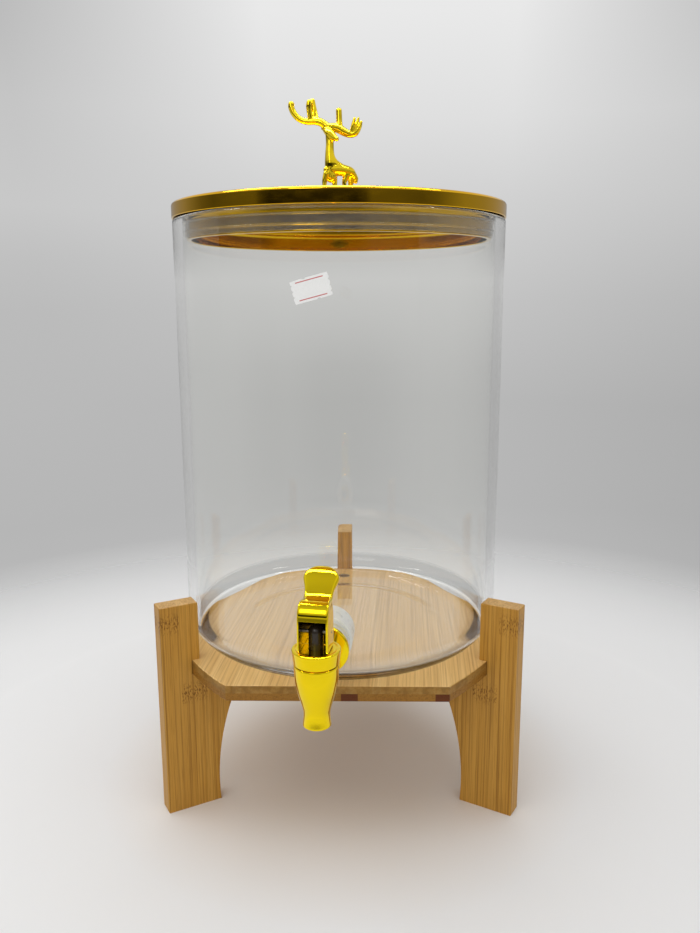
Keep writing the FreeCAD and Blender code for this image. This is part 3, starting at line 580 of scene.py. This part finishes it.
def makeTapBody(barrel, tail):
    shoulder = tailZ + barrel["shoulder"]
    tip = shoulder - barrel["length"]
    edge = barrel["edge"]
    side = [(barrel["tipRadius"], tip + edge)]
    side += [(radius, shoulder - drop) for drop, radius in reversed(barrel["drops"])]
    side += [(barrel["topRadius"], shoulder - 2 * edge)]
    outline = [(barrel["bore"], shoulder - barrel["seat"]), (barrel["bore"], tip + edge)]
    outline += arc((barrel["bore"] + edge, tip + edge), edge, 180, 270, 4)
    outline += arc((barrel["tipRadius"] - edge, tip + edge), edge, 270, 360, 4)
    outline += smoothCurve(side, 6)[1:]
    outline += arc((barrel["topRadius"] - edge, shoulder - edge), edge, 0, 90, 4)
    collarTop = shoulder + barrel["collarHeight"]
    outline += [(barrel["collar"], shoulder), (barrel["collar"], collarTop), (barrel["chamber"], collarTop)]
    outline += [(barrel["chamber"], shoulder - barrel["seat"]), outline[0]]
    body = turned("tapBody", outline, (0, tapY, 0), sharp=35)

    back = -(jarRadius + tail["washer"])
    front = back - tail["flangeFace"]
    end = -(jarRadius - jarShape["wall"] - tail["inside"])
    crest = tail["tail"]
    root = crest - tail["thread"]
    fillet, edge, backEdge = tail["fillet"], tail["flangeEdge"], tail["backEdge"]
    start = tapY + barrel["chamber"] + tail["neckStart"]
    outline = [(tail["bore"], start), (tail["neck"], start), (tail["neck"], front - fillet)]
    outline += arc((tail["neck"] + fillet, front - fillet), fillet, 180, 90, 6)[1:]
    outline += arc((tail["flange"] - edge, front + edge), edge, -90, 0, 5)
    outline += arc((tail["flange"] - backEdge, back - backEdge), backEdge, 0, 90, 3)
    outline += [(crest, back)]
    first = end - tail["threads"] * tail["pitch"]
    outline += [(crest, first)]
    rootFrom, rootTo, crestFrom = tail["profile"]
    for turn in range(tail["threads"]):
        start = first + turn * tail["pitch"]
        outline += [(root, start + rootFrom), (root, start + rootTo), (crest, start + crestFrom)]
    outer, inner = tail["endEdge"]
    outline += [(crest - outer, end), (tail["bore"] + inner, end), (tail["bore"], end - inner), outline[0]]
    stub = turned("tapTail", outline, (0, 0, tailZ), alongY=True, steps=96)
    tapBody = joined(body, stub)
    dress(tapBody, tapGold, "jar", "tap_gold", "tap_body")


bonnetShape = {"foot": 12.2, "footEdge": 0.4, "radius": 13.09, "seam": 0.6, "height": 8.1, "groove": 10.9,
               "grooveWidth": 0.7, "grooveDepth": 0.5, "grooveSlope": 0.1, "edge": 0.7, "skirt": 10.35,
               "hole": 4.06, "holeEdge": 0.3, "ceiling": 0.7}


def makeBonnet(values, barrel):
    base = tailZ + barrel["shoulder"] + values["seam"]
    top = base + values["height"]
    ceiling = tailZ + barrel["shoulder"] + barrel["collarHeight"] + values["ceiling"]
    edge, footEdge, holeEdge = values["edge"], values["footEdge"], values["holeEdge"]
    low, slope = top - values["grooveDepth"], values["grooveSlope"]
    near, far = values["groove"], values["groove"] + values["grooveWidth"]
    outline = arc((values["foot"] - footEdge, base + footEdge), footEdge, -90, 0, 4)
    outline += arc((values["radius"] - edge, top - edge), edge, 0, 90, 6)
    outline += [(far, top), (far - slope, low), (near + slope, low), (near, top)]
    outline += arc((values["hole"] + holeEdge, top - holeEdge), holeEdge, 90, 180, 3)
    outline += [(values["hole"], ceiling), (values["skirt"], ceiling), (values["skirt"], base), outline[0]]
    bonnet = turned("tapBonnet", outline, (0, tapY, 0), sharp=35)
    dress(bonnet, tapGold, "jar", "tap_gold", "tap_bonnet")


nutShape = {"radius": 15.0, "bore": 7.95, "edge": 1.4, "seatEdge": 0.5, "mouth": 0.8}


def makeNut(values):
    seat, end = nutLow[1], nutHigh[1]
    radius, hole, mouth = values["radius"], values["bore"], values["mouth"]
    edge, seatEdge = values["edge"], values["seatEdge"]
    outline = arc((radius - seatEdge, seat + seatEdge), seatEdge, -90, 0, 4)
    outline += arc((radius - edge, end - edge), edge, 0, 90, 8)
    outline += [(hole + mouth, end), (hole, end - mouth), (hole, seat), outline[0]]
    nut = turned("tapNut", outline, (0, 0, tailZ), alongY=True, steps=96)
    dress(nut, whitePlastic, "jar", "white_plastic", "tap_nut")


leverTurn = -5.5  # degrees by which stem and lever stand turned about the barrel


def turnOnBarrel(piece):
    place = Vector((0, tapY, 0)) * mm
    turn = Matrix.Translation(place) @ Matrix.Rotation(radians(leverTurn), 4, "Z") @ Matrix.Translation(-place)
    piece.matrix_world = turn @ piece.matrix_world


stemShape = {"rod": 4, "plate": 6.6, "plateThick": 1.6, "edge": 0.3, "stub": 1.6, "stubLong": 1.5, "hole": 1.05}


def makeStem(values):
    foot = stemBase + values["stubLong"]
    top = foot + values["plateThick"]
    rod, plate, edge = values["rod"], values["plate"], values["edge"]
    outline = [(0, stemBase), (values["stub"], stemBase), (values["stub"], foot), (plate - edge, foot)]
    outline += [(plate, foot + edge), (plate, top - edge), (plate - edge, top), (rod, top)]
    outline += arc((0, pinZ), rod, 0, 90, 14)
    stem = turned("valveStem", outline, (0, tapY, 0), steps=64)
    bore(stem, values["hole"], -plate, plate, pinZ, tapY)
    turnOnBarrel(stem)
    finishMesh(stem)
    dress(stem, stemPlastic, "stem", "stem_plastic", "valve_stem")


leverShape = {
    "width": 16.8, "cheek": 1.8, "foot": 9, "camAhead": 4.6, "camUp": 1.9, "front": 9.5, "stem": 4, "room": 0.6,
    "shoulder": 17.6, "window": 8.8, "windowEdge": 0.5, "side": 1.2, "corner": 1.3, "pinHole": 1.05,
    "ceilingDrop": [(0, 4.0), (1.6, 1.2), (5.0, 0.2)], "ceilingEnd": [(1, 0.8), (0, 2.2)], "reach": (30, 40),
    "past": 1, "thin": 4, "thinCorner": 0.85,
    # ahead of the pin, above it, lean, half width, half depth
    "sections": [(1.55, -12, 0, 8.4, 7.95), (1.55, -6, 0, 8.4, 7.95), (1.55, 1, 0, 8.4, 7.95),
        (1.55, 6.6, 0, 8.4, 7.95), (1.45, 9.8, 7, 8.4, 7.8), (1.0, 12.3, 15, 8.35, 7.4), (0.0, 14.2, 23, 8.25, 6.6),
        (-1.6, 15.3, 29, 8.1, 5.1), (-3.6, 15.6, 34, 7.95, 3.4), (-5.5, 15.8, 39, 7.8, 2.2),
        (-7.5, 17.5, 44, 7.7, 1.9), (-10.3, 20.2, 45, 8.1, 1.9), (-13.0, 22.7, 46, 9.5, 2.3),
        (-15.2, 24.6, 51, 10.1, 2.9), (-17.2, 26.0, 58, 8.9, 3.1), (-19.0, 26.8, 66, 6.8, 2.9),
        (-20.5, 27.2, 76, 4.4, 2.4), (-21.6, 27.3, 86, 2.0, 1.5)]}


def makeSection(place, lean, wide, deep, corner):
    # A rounded rectangle, square to the lever's line
    deselectAll()
    bpy.ops.mesh.primitive_plane_add(size=2 * mm, location=place, rotation=(radians(-lean), 0, 0))
    section = bpy.context.object
    section.scale = (wide, deep, 1)
    settle(section)
    setMode("EDIT")
    selectMesh()
    bpy.ops.mesh.bevel(offset=corner * mm, segments=3, affect="VERTICES")
    selectMesh()
    bpy.ops.mesh.delete(type="ONLY_FACE")
    setMode("OBJECT")
    return section


def makeLever(values):
    # Bridged sections, smoothed, then cut out underneath and in front. Thin sections have round sides
    rings = [makeSection(Vector((0, tapY - ahead, pinZ + up)) * mm, lean, wide, deep,
                         values["corner"] if deep > values["thin"] else deep * values["thinCorner"])
             for ahead, up, lean, wide, deep in values["sections"]]
    corners = len(rings[0].data.vertices)
    lever = joined(*rings)
    lever.name = "tapLever"
    for ring in range(len(rings) - 1):
        setMode("EDIT")
        selectMesh("DESELECT")
        setMode("OBJECT")
        for edge in lever.data.edges:
            homes = {vertex // corners for vertex in edge.vertices}
            edge.select = len(homes) == 1 and homes <= {ring, ring + 1}
        setMode("EDIT")
        bpy.ops.mesh.select_mode(type="EDGE")
        bpy.ops.mesh.bridge_edge_loops()
    for end in (0, len(rings) - 1):
        setMode("OBJECT")
        for vertex in lever.data.vertices:
            vertex.select = vertex.index // corners == end
        setMode("EDIT")
        bpy.ops.mesh.select_mode(type="VERT")
        bpy.ops.mesh.edge_face_add()
        selectMesh("DESELECT")
        setMode("OBJECT")
    finishMesh(lever, flat=False)
    modify(lever, "SUBSURF", levels=2, render_levels=2)
    lever.data.materials.append(tapGold)

    def side(points):
        return [(tapY - ahead, pinZ + up) for ahead, up in points]

    def cut(outline, half, how):
        tool = prism("leverCut", side(outline), -half, half)
        # The pocket's cut faces take the dark finish with its painted shade
        tool.data.materials.append(tapGold if how == "INTERSECT" else tapShadedInside)
        combine(lever, tool, how)

    front, foot = values["front"], values["foot"]
    camRadius = foot + values["camUp"]

    def cam(ahead):
        return ahead, values["camUp"] - sqrt(camRadius ** 2 - (ahead - values["camAhead"]) ** 2)

    end, low = front + values["past"], -foot - 2 * values["past"]
    wide, lip = values["width"], values["windowEdge"]
    behind, above = values["reach"]
    outline = [(-behind, -foot), (values["camAhead"], -foot)]
    outline += arcThrough((values["camAhead"], -foot), cam((values["camAhead"] + end) / 2), cam(end), 10)[1:]
    outline += [(end, above), (-behind, above)]
    cut(outline, wide, "INTERSECT")
    inner = -(values["stem"] + values["room"])
    wall = front - values["cheek"]
    ceiling = values["shoulder"] - values["cheek"]
    pocket = [(inner, low), (end, low), (end, values["window"] - lip), (wall + lip, values["window"])]
    pocket += arcThrough(*((wall - back, ceiling - drop) for back, drop in values["ceilingDrop"]), 6)
    pocket += [(inner + ahead, ceiling - drop) for ahead, drop in values["ceilingEnd"]]
    cut(pocket, wide / 2 - values["side"], "DIFFERENCE")
    bore(lever, values["pinHole"], -wide, wide, pinZ, tapY)
    turnOnBarrel(lever)
    finishMesh(lever, 38, flat=False)
    dress(lever, None, "lever", "tap_gold", "tap_lever")


pinShape = {"radius": 1.0, "edge": 0.2}


def makePin(values):
    half = leverShape["width"] / 2
    radius, edge = values["radius"], values["edge"]
    outline = [(0, -half), (radius - edge, -half), (radius, edge - half)]
    outline += [(radius, half - edge), (radius - edge, half), (0, half)]
    pin = turned("leverPin", outline, alongY=True, steps=32)
    pin.rotation_euler = (0, 0, -pi / 2)
    pin.location = Vector((0, tapY, pinZ)) * mm
    settle(pin)
    turnOnBarrel(pin)
    finishMesh(pin)
    dress(pin, zincSteel, "lever", "zinc_steel", "lever_pin")


makeTapBody(barrelShape, tailShape)
makeBonnet(bonnetShape, barrelShape)
makeNut(nutShape)
makeStem(stemShape)
makeLever(leverShape)
makePin(pinShape)
coat(whiteRubber, "outer_washer", "inner_washer")
coat(darkRubber, "bonnet_gasket", "valve_seal")
coat(springSteel, "valve_spring")
print("tap made")


# Lid

lidShape = {"edge": 1.6, "wall": 1.0, "hole": 2.2, "curl": 0.5, "straight": 3, "rings": (0.9, 0.5)}
panShape = {"gap": 3.6, "wall": 0.8, "hem": 1.8, "fold": 0.6, "bead": 1.0, "ceiling": 3.0, "ceilingRound": 2.0,
            "hole": 2.2, "flangeSlope": 0.5}
sealShape = {"gap": 1.8, "ribs": 2, "ribWidth": 1.3, "crown": 0.3, "ribEdge": (0.2, 0.1), "foot": 0.65,
             "footEdge": 0.3}
panRadius = jarRadius - jarShape["wall"] - panShape["gap"]


def makeCap(values):
    radius, edge, wall, hole = capHigh[0], values["edge"], values["wall"], values["hole"]
    base, top = capLow[2], capHigh[2]
    curl = values["curl"]
    outline = arc((radius - curl, base + curl), curl, -90, 0, 5)
    outline += [(radius, base + values["straight"])]
    outline += arc((radius - edge, top - edge), edge, 0, 90, 10)
    outer, inner = values["rings"]
    outline += [(radius * outer, top), (radius * inner, top), (hole, top), (hole, top - wall)]
    outline += [(radius * inner, top - wall), (radius - wall, top - wall), (radius - wall, base), outline[0]]
    cap = turned("lidCap", outline, steps=192)
    dress(cap, lidGold, "lid", "lid_gold", "lid_cap")


def makePan(values):
    # A collar folded back inside, with a ceiling across it
    base, low, flange = capLow[2], panLow[2], panHigh[0]
    thick, hole = values["wall"], values["hole"]
    inner = panRadius - values["hem"]
    ceiling = base - values["ceiling"]
    corner, fold, slope = values["ceilingRound"], values["fold"], values["flangeSlope"]
    outline = [(hole, ceiling)]
    outline += arc((inner - corner, ceiling - corner), corner, 90, 0, 8)
    outline += arc((inner + fold, low + fold), fold, 180, 270, 5)
    outline += arc((panRadius + values["bead"] - thick / 2, low + thick / 2), thick / 2, -90, 90, 8)
    outline += [(panRadius, low + thick), (panRadius, base - slope), (panRadius + slope, base), (flange, base)]
    outline += [(flange, base + thick), (panRadius - thick, base + thick), (panRadius - thick, ceiling + thick)]
    outline += [(hole, ceiling + thick), outline[0]]
    pan = turned("lidPan", outline, steps=192)
    dress(pan, panGold, "lid", "lid_gold", "lid_pan")


def makeSeal(values):
    bottom, top = panLow[2] + panShape["wall"], sealTop
    sleeve = jarRadius - jarShape["wall"] - values["gap"]
    crest = sealOut
    half = values["ribWidth"] / 2
    pitch = (top - bottom) / (values["ribs"] - 1 + values["foot"])
    edge = values["footEdge"]
    inset, rise = values["ribEdge"]
    outline = [(panRadius, bottom)] + arc((sleeve - edge, bottom + edge), edge, -90, 0, 4)
    for rib in reversed(range(values["ribs"])):
        middle = top - half - rib * pitch
        side = crest - values["crown"]
        outline += [(sleeve, middle - half), (side - inset, middle - half)]
        outline += arcThrough((side, middle - half + rise), (crest, middle), (side, middle + half - rise), 8)
        outline += [(side - inset, middle + half)]
        if rib:
            outline += [(sleeve, middle + half)]
    outline += [(panRadius, top), outline[0]]
    ring = turned("lidSeal", outline, steps=192, sharp=50)
    dress(ring, silicone, "lid", "silicone", "lid_seal")
    letLightThrough(ring)


makeCap(lidShape)
makePan(panShape)
makeSeal(sealShape)
coat(coreBoard, "lid_core")
coat(zincSteel, "lid_screw", "lid_screw_washer")
print("lid made")


# Knob

# Each point of a limb is x, y, height above the hooves, and radius. The plinth is radius, height and edge
deerShape = {
    "torso": [(-7.0, -4.6, 17.0, 2.4), (-5.0, -3.6, 17.2, 3.9), (-1.0, -1.2, 17.6, 4.0), (3.6, 1.4, 17.2, 3.6),
        (6.8, 3.4, 16.4, 3.3), (8.4, 4.6, 15.0, 2.5)],
    "withers": [(-5.2, -3.6, 25.0, 2.9), (-3.2, -2.4, 20.8, 3.5), (0.5, -0.4, 18.2, 3.6)],
    "neck": [(-4.8, -3.4, 12.8, 3.4), (-4.9, -3.6, 21.0, 3.7), (-5.4, -3.8, 26.9, 2.9), (-5.3, -3.8, 32.5, 2.5),
        (-5.4, -3.4, 38.6, 2.7)],
    "head": [(-9.4, -0.8, 42.2, 1.3), (-7.6, -1.8, 41.0, 2.3), (-4.8, -4.0, 38.3, 2.8), (-2.4, -6.0, 35.9, 2.2),
        (-0.6, -7.4, 34.8, 1.5)],
    "ears": [
        [(-8.2, 0.2, 41.6, 1.3), (-9.2, 0.2, 42.2, 1.3), (-10.2, 0.0, 42.4, 1.0)],
        [(-4.2, 0.0, 41.4, 1.2), (-2.8, 1.6, 42.2, 1.1), (-1.8, 2.6, 42.6, 0.7)]],
    "legs": [
        [(-7.2, -5.2, 14.5, 2.4), (-8.5, -5.6, 10.5, 1.7), (-8.7, -5.6, 5.5, 1.3), (-8.3, -5.4, 0.0, 1.5)],
        [(-3.4, -1.6, 14.5, 2.4), (-2.7, -1.2, 10.0, 1.8), (-2.7, -1.4, 5.5, 1.3), (-2.5, -1.4, 0.0, 1.5)],
        [(4.8, 1.2, 14.5, 2.4), (3.3, 0.4, 10.0, 1.5), (3.7, 0.2, 5.5, 1.2), (3.0, -0.2, 0.0, 1.4)],
        [(7.4, 5.0, 14.0, 2.6), (7.0, 5.0, 9.8, 1.8), (6.6, 5.4, 5.5, 1.3), (6.4, 5.0, 0.0, 1.5)]],
    "tail": [(8.8, 4.8, 15.4, 2.0), (10.2, 5.6, 12.8, 1.7), (10.2, 5.6, 11.0, 1.3)],
    "antlers": [
        [(-5.0, -1.6, 42.4, 2.3), (-8.0, -1.0, 44.0, 2.4), (-11.3, -0.8, 46.0, 2.5), (-15.1, -0.6, 46.9, 2.4),
         (-18.9, -0.6, 46.6, 2.1), (-22.7, -0.6, 47.3, 2.0), (-25.9, -0.6, 49.1, 2.0), (-28.3, -0.6, 51.9, 2.0),
         (-29.6, -0.6, 54.9, 2.0), (-29.7, -0.6, 56.9, 2.0)],
        [(-17.2, -0.8, 47.2, 1.9), (-18.2, -1.4, 52.0, 1.75), (-18.6, -1.8, 55.6, 1.7), (-18.2, -1.8, 57.7, 1.7)],
        [(-14.2, -0.2, 47.4, 2.0), (-15.0, 1.0, 51.4, 1.8), (-15.9, 1.7, 55.6, 1.7), (-16.6, 1.8, 59.0, 1.7)],
        [(-6.0, -1.6, 42.8, 2.4), (-2.9, -1.0, 42.8, 2.7), (0.5, -0.6, 41.8, 2.8), (3.8, -0.6, 39.9, 2.6),
         (7.2, -0.6, 38.6, 2.2), (10.2, -0.6, 39.3, 2.2), (12.0, -0.6, 41.2, 1.8)],
        [(0.5, -0.6, 43.0, 2.2), (0.4, -0.6, 46.2, 1.95), (0.3, -0.6, 50.2, 1.9), (0.2, -0.6, 52.6, 1.9)],
        [(8.4, -1.0, 39.6, 1.7), (9.3, -1.8, 44.1, 1.3), (10.1, -2.0, 47.8, 0.75)],
        [(10.6, -0.4, 40.2, 1.8), (11.6, 0.0, 44.8, 1.35), (12.4, 0.2, 48.2, 0.75)],
        [(11.9, -0.6, 40.8, 1.7), (13.4, -1.2, 43.2, 1.35), (14.2, -1.4, 45.6, 0.85)]],
    "plinth": (10, 5, 1.2), "plinthFoot": 0.3, "sunk": 0.2, "voxel": 0.3, "soften": 0.5, "smooth": 4}


def limb(name, points, foot):
    # A tapered round tube with closed, rounded ends
    smooth = smoothCurve(points, 4)
    data = bpy.data.curves.new(name, "CURVE")
    data.dimensions = "3D"
    data.bevel_depth = mm
    data.bevel_resolution = 5
    data.use_fill_caps = True
    line = data.splines.new("POLY")
    line.points.add(len(smooth) - 1)
    for spot, (x, y, z, radius) in zip(line.points, smooth):
        spot.co = (x * mm, y * mm, (z + foot) * mm, 1)
        spot.radius = radius
    tube = bpy.data.objects.new(name, data)
    bpy.context.collection.objects.link(tube)
    select(tube)
    bpy.ops.object.convert(target="MESH")
    pieces = [bpy.context.object]
    for x, y, z, radius in (points[0], points[-1]):
        deselectAll()
        bpy.ops.mesh.primitive_uv_sphere_add(segments=24, ring_count=12, radius=radius * mm,
                                             location=Vector((x, y, z + foot)) * mm)
        pieces.append(bpy.context.object)
    return pieces


def makeDeer(values):
    radius, height, edge = values["plinth"]
    base, low = deerBase, values["plinthFoot"]
    foot = base + height
    parts = []
    for name in ("torso", "withers", "neck", "head", "tail"):
        parts += limb(name, values[name], foot)
    for name in ("ears", "legs", "antlers"):
        for points in values[name]:
            parts += limb(name, points, foot)
    deer = joined(*parts)
    deer.name = "deerKnob"
    settle(deer)
    modify(deer, "REMESH", mode="VOXEL", voxel_size=values["voxel"] * mm)
    modify(deer, "SMOOTH", factor=values["soften"], iterations=values["smooth"])
    setMode("EDIT")
    selectMesh()
    bpy.ops.mesh.bisect(plane_co=(0, 0, (foot - values["sunk"]) * mm), plane_no=(0, 0, 1),
                        clear_inner=True, use_fill=True)
    setMode("OBJECT")
    finishMesh(deer, 60, flat=False)
    outline = [(0, base), (radius - low, base), (radius, base + low)]
    outline += arc((radius - edge, foot - edge), edge, 0, 90, 8)
    outline += [(0, foot)]
    plinth = turned("plinth", outline, steps=96)
    knob = joined(deer, plinth)
    dress(knob, knobGold, "lid", "knob_gold", "deer_knob")


makeDeer(deerShape)
print("knob made")


# Floor, light and camera

# In metres. Under the stand the paper is tinted warmer, a painted warm bounce of light off the bamboo, and far out it
# fades into the backdrop
floorShape = {"size": 3.0, "tone": rgb(234, 234, 234), "under": rgb(229, 219, 207), "bounceReach": (0.07, 0.17),
              "fade": (0.3, 0.62)}


def makeFloor(values):
    deselectAll()
    bpy.ops.mesh.primitive_plane_add(size=values["size"], location=(0, 0, 0))
    floor = bpy.context.object
    floor.name = "studioFloor"
    material, tree, shader = newMaterial("paper", {"Base Color": values["tone"], "Roughness": 0.8,
                                                   "Specular IOR Level": 0.1})
    where = add(tree, "TexCoord").outputs["Object"]
    reach = add(tree, "VectorMath", {"operation": "LENGTH"}, i0=where).outputs["Value"]
    # Painted warm bounce light under the stand, fading out with distance from the middle
    near = remap(tree, reach, *values["bounceReach"])
    tree.links.new(mixColours(tree, near, values["under"], values["tone"]), shader.inputs["Base Color"])
    clear = add(tree, "BsdfTransparent").outputs[0]
    mix = add(tree, "MixShader", Fac=remap(tree, reach, *values["fade"]))
    tree.links.new(shader.outputs[0], mix.inputs[1])
    tree.links.new(clear, mix.inputs[2])
    tree.links.new(mix.outputs[0], tree.nodes["Material Output"].inputs["Surface"])
    floor.data.materials.append(material)
    floor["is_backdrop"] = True


# Tones of the backdrop by the direction's height, then what polished surfaces reflect: the wall, by how far the
# direction turns from the front, and what is above and below. Rays bent by the glass wall alone see the backdrop
studio = {
    "middle": [(-0.65, 228), (-0.45, 220), (-0.374, 216), (-0.34, 205), (-0.307, 188), (-0.239, 182), (-0.12, 183),
        (0.0, 195), (0.111, 209), (0.196, 223), (0.299, 233)],
    "right": [(-0.65, 222), (-0.45, 208), (-0.374, 200), (-0.34, 186), (-0.307, 174), (-0.239, 170), (-0.12, 170),
        (0.0, 179), (0.111, 193), (0.196, 192), (0.299, 165)],
    "left": [(-0.65, 228), (-0.45, 221), (-0.374, 214), (-0.34, 199), (-0.307, 184), (-0.25, 182), (-0.12, 185),
        (-0.013, 187), (0.045, 192), (0.1, 200), (0.205, 197), (0.299, 186)],
    "spread": (0.1, 0.42),
    "spreadLeft": (-0.17, -0.42),
    "front": (0.208, 0.978, 0),
    "wall": [(-1.0, 34), (-0.88, 30), (-0.82, 58), (-0.78, 88), (-0.6, 88), (-0.3, 78), (-0.1, 95), (0.1, 120),
        (0.3, 139), (0.6, 144), (1.0, 156)],
    "above": [(0.12, 90), (0.2, 160), (0.3, 212), (0.5, 220), (0.7, 204), (0.92, 180), (1.0, 176)],
    "below": [(-1.0, 218), (-0.34, 218), (-0.27, 165), (-0.2, 120), (-0.08, 112), (-0.03, 170), (0.02, 205)],
    "belowAside": [(-1.0, 218), (-0.34, 218), (-0.27, 196), (-0.2, 184), (-0.08, 184), (0.02, 210)],
    "horizon": (0.06, 0.02),
    "ceilingFrom": (0.12, 0.2),
    "asideFrom": (-0.85, -0.5),
    "seenAhead": -0.3,
    "seenBelow": -0.25,
    "ambient": 0.6}


def toneRamp(tree, value, tones):
    low, high = tones[0][0], tones[-1][0]
    node = add(tree, "ValToRGB", Fac=remap(tree, value, low, high))
    stops = node.color_ramp.elements
    while len(stops) < len(tones):
        stops.new(0.5)
    for stop, (place, tone) in zip(stops, tones):
        stop.position = (place - low) / (high - low)
        stop.color = rgb(tone, tone, tone)
    return node.outputs["Color"]


def makeWorld(values):
    world = bpy.data.worlds.new("studio")
    bpy.context.scene.world = world
    world.use_nodes = True
    tree = world.node_tree
    direction = add(tree, "TexCoord").outputs["Generated"]
    aside, _, up = separate(tree, direction)
    facing = add(tree, "VectorMath", {"operation": "DOT_PRODUCT"}, i0=direction,
                 i1=values["front"]).outputs["Value"]

    def blend(first, second, along, reach):
        return mixColours(tree, remap(tree, along, *values[reach]), first, second)

    backdrop = toneRamp(tree, up, values["middle"])
    backdrop = blend(backdrop, toneRamp(tree, up, values["right"]), aside, "spread")
    backdrop = blend(backdrop, toneRamp(tree, up, values["left"]), aside, "spreadLeft")
    room = toneRamp(tree, facing, values["wall"])
    room = blend(room, toneRamp(tree, up, values["above"]), up, "ceilingFrom")
    below = blend(toneRamp(tree, up, values["below"]), toneRamp(tree, up, values["belowAside"]), facing, "asideFrom")
    room = blend(room, below, up, "horizon")
    path = add(tree, "LightPath")

    def over(kind, count):
        # Rays past count steps of a kind
        return mathNode(tree, "GREATER_THAN", path.outputs[kind + " Depth"], count + 0.5)

    seen = mathNode(tree, "MAXIMUM", mathNode(tree, "GREATER_THAN", facing, values["seenAhead"]),
                    mathNode(tree, "LESS_THAN", up, values["seenBelow"]))
    inWall = mathNode(tree, "SUBTRACT", over("Transmission", 0), over("Transmission", 2))
    inWall = mathNode(tree, "MULTIPLY", inWall, path.outputs["Is Transmission Ray"])
    inWall = mathNode(tree, "MULTIPLY", inWall, seen)
    mirrored = mathNode(tree, "MULTIPLY", over("Glossy", 0), mathNode(tree, "SUBTRACT", 1.0, inWall))
    light = mixColours(tree, mirrored, backdrop, room)
    light = mixColours(tree, over("Diffuse", 0), light, (values["ambient"],) * 3 + (1,))
    tree.links.new(light, tree.nodes["Background"].inputs["Color"])


# Place, aim and size in metres, power in watts, and whether it shows in polished surfaces or lights the rest
lights = {
    "softTop": ((-0.3, -0.1, 1.5), (0, 0, 0), (1.8, 1.8), 12.0, False),
    "frontFill": ((0.1, -1.5, 0.9), (0, 0, 0.15), (1.4, 0.8), 3.2, False),
    "lamp0": ((-0.42, -0.1, 1.35), (0, -0.12, 0.2), (0.16, 1.2), 8.0, True),
    "lamp1": ((-0.1, -0.1, 1.35), (0, -0.12, 0.2), (0.26, 1.2), 13.0, True),
    "lamp2": ((0.3, -0.1, 1.35), (0, -0.12, 0.2), (0.14, 1.2), 7.0, True),
    "frontLamp": ((-0.33, -1.16, 0.86), (0, -0.15, 0.17), (0.45, 0.5), 1.4, True)}


def areaLight(name, place, aim, size, power, mirrored):
    light = bpy.data.lights.new(name, "AREA")
    light.shape = "RECTANGLE"
    light.size, light.size_y = size
    light.energy = power
    lamp = bpy.data.objects.new(name, light)
    bpy.context.collection.objects.link(lamp)
    lamp.location = place
    lamp.rotation_euler = (Vector(aim) - Vector(place)).to_track_quat("-Z", "Y").to_euler()
    lamp.visible_glossy = mirrored
    lamp.visible_transmission = mirrored
    lamp.visible_diffuse = not mirrored


# Place in millimetres, angles in degrees
cameraPlace = {"place": (51.4, -548.6, 327.5), "pitch": 11.452, "yaw": 4.694, "roll": -0.2, "lens": 31.93,
               "sensor": 36, "nearest": 10}


def makeCamera(values):
    data = bpy.data.cameras.new("camera")
    data.lens = values["lens"]
    data.sensor_width = values["sensor"]
    data.clip_start = values["nearest"] * mm
    camera = bpy.data.objects.new("camera", data)
    bpy.context.collection.objects.link(camera)
    aim = Euler((radians(90 - values["pitch"]), 0, radians(values["yaw"]))).to_matrix().to_4x4()
    roll = Matrix.Rotation(radians(values["roll"]), 4, "Z")
    camera.matrix_world = Matrix.Translation(Vector(values["place"]) * mm) @ aim @ roll
    bpy.context.scene.camera = camera


makeFloor(floorShape)
makeWorld(studio)
for name, values in lights.items():
    areaLight(name, *values)
makeCamera(cameraPlace)
bpy.context.scene.view_settings.view_transform = "Standard"
print("studio made")

for name, bounds in (("cad", cadBounds), ("visual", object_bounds())):
    print(name, [[round(value, 5) for value in corner] for corner in bounds])
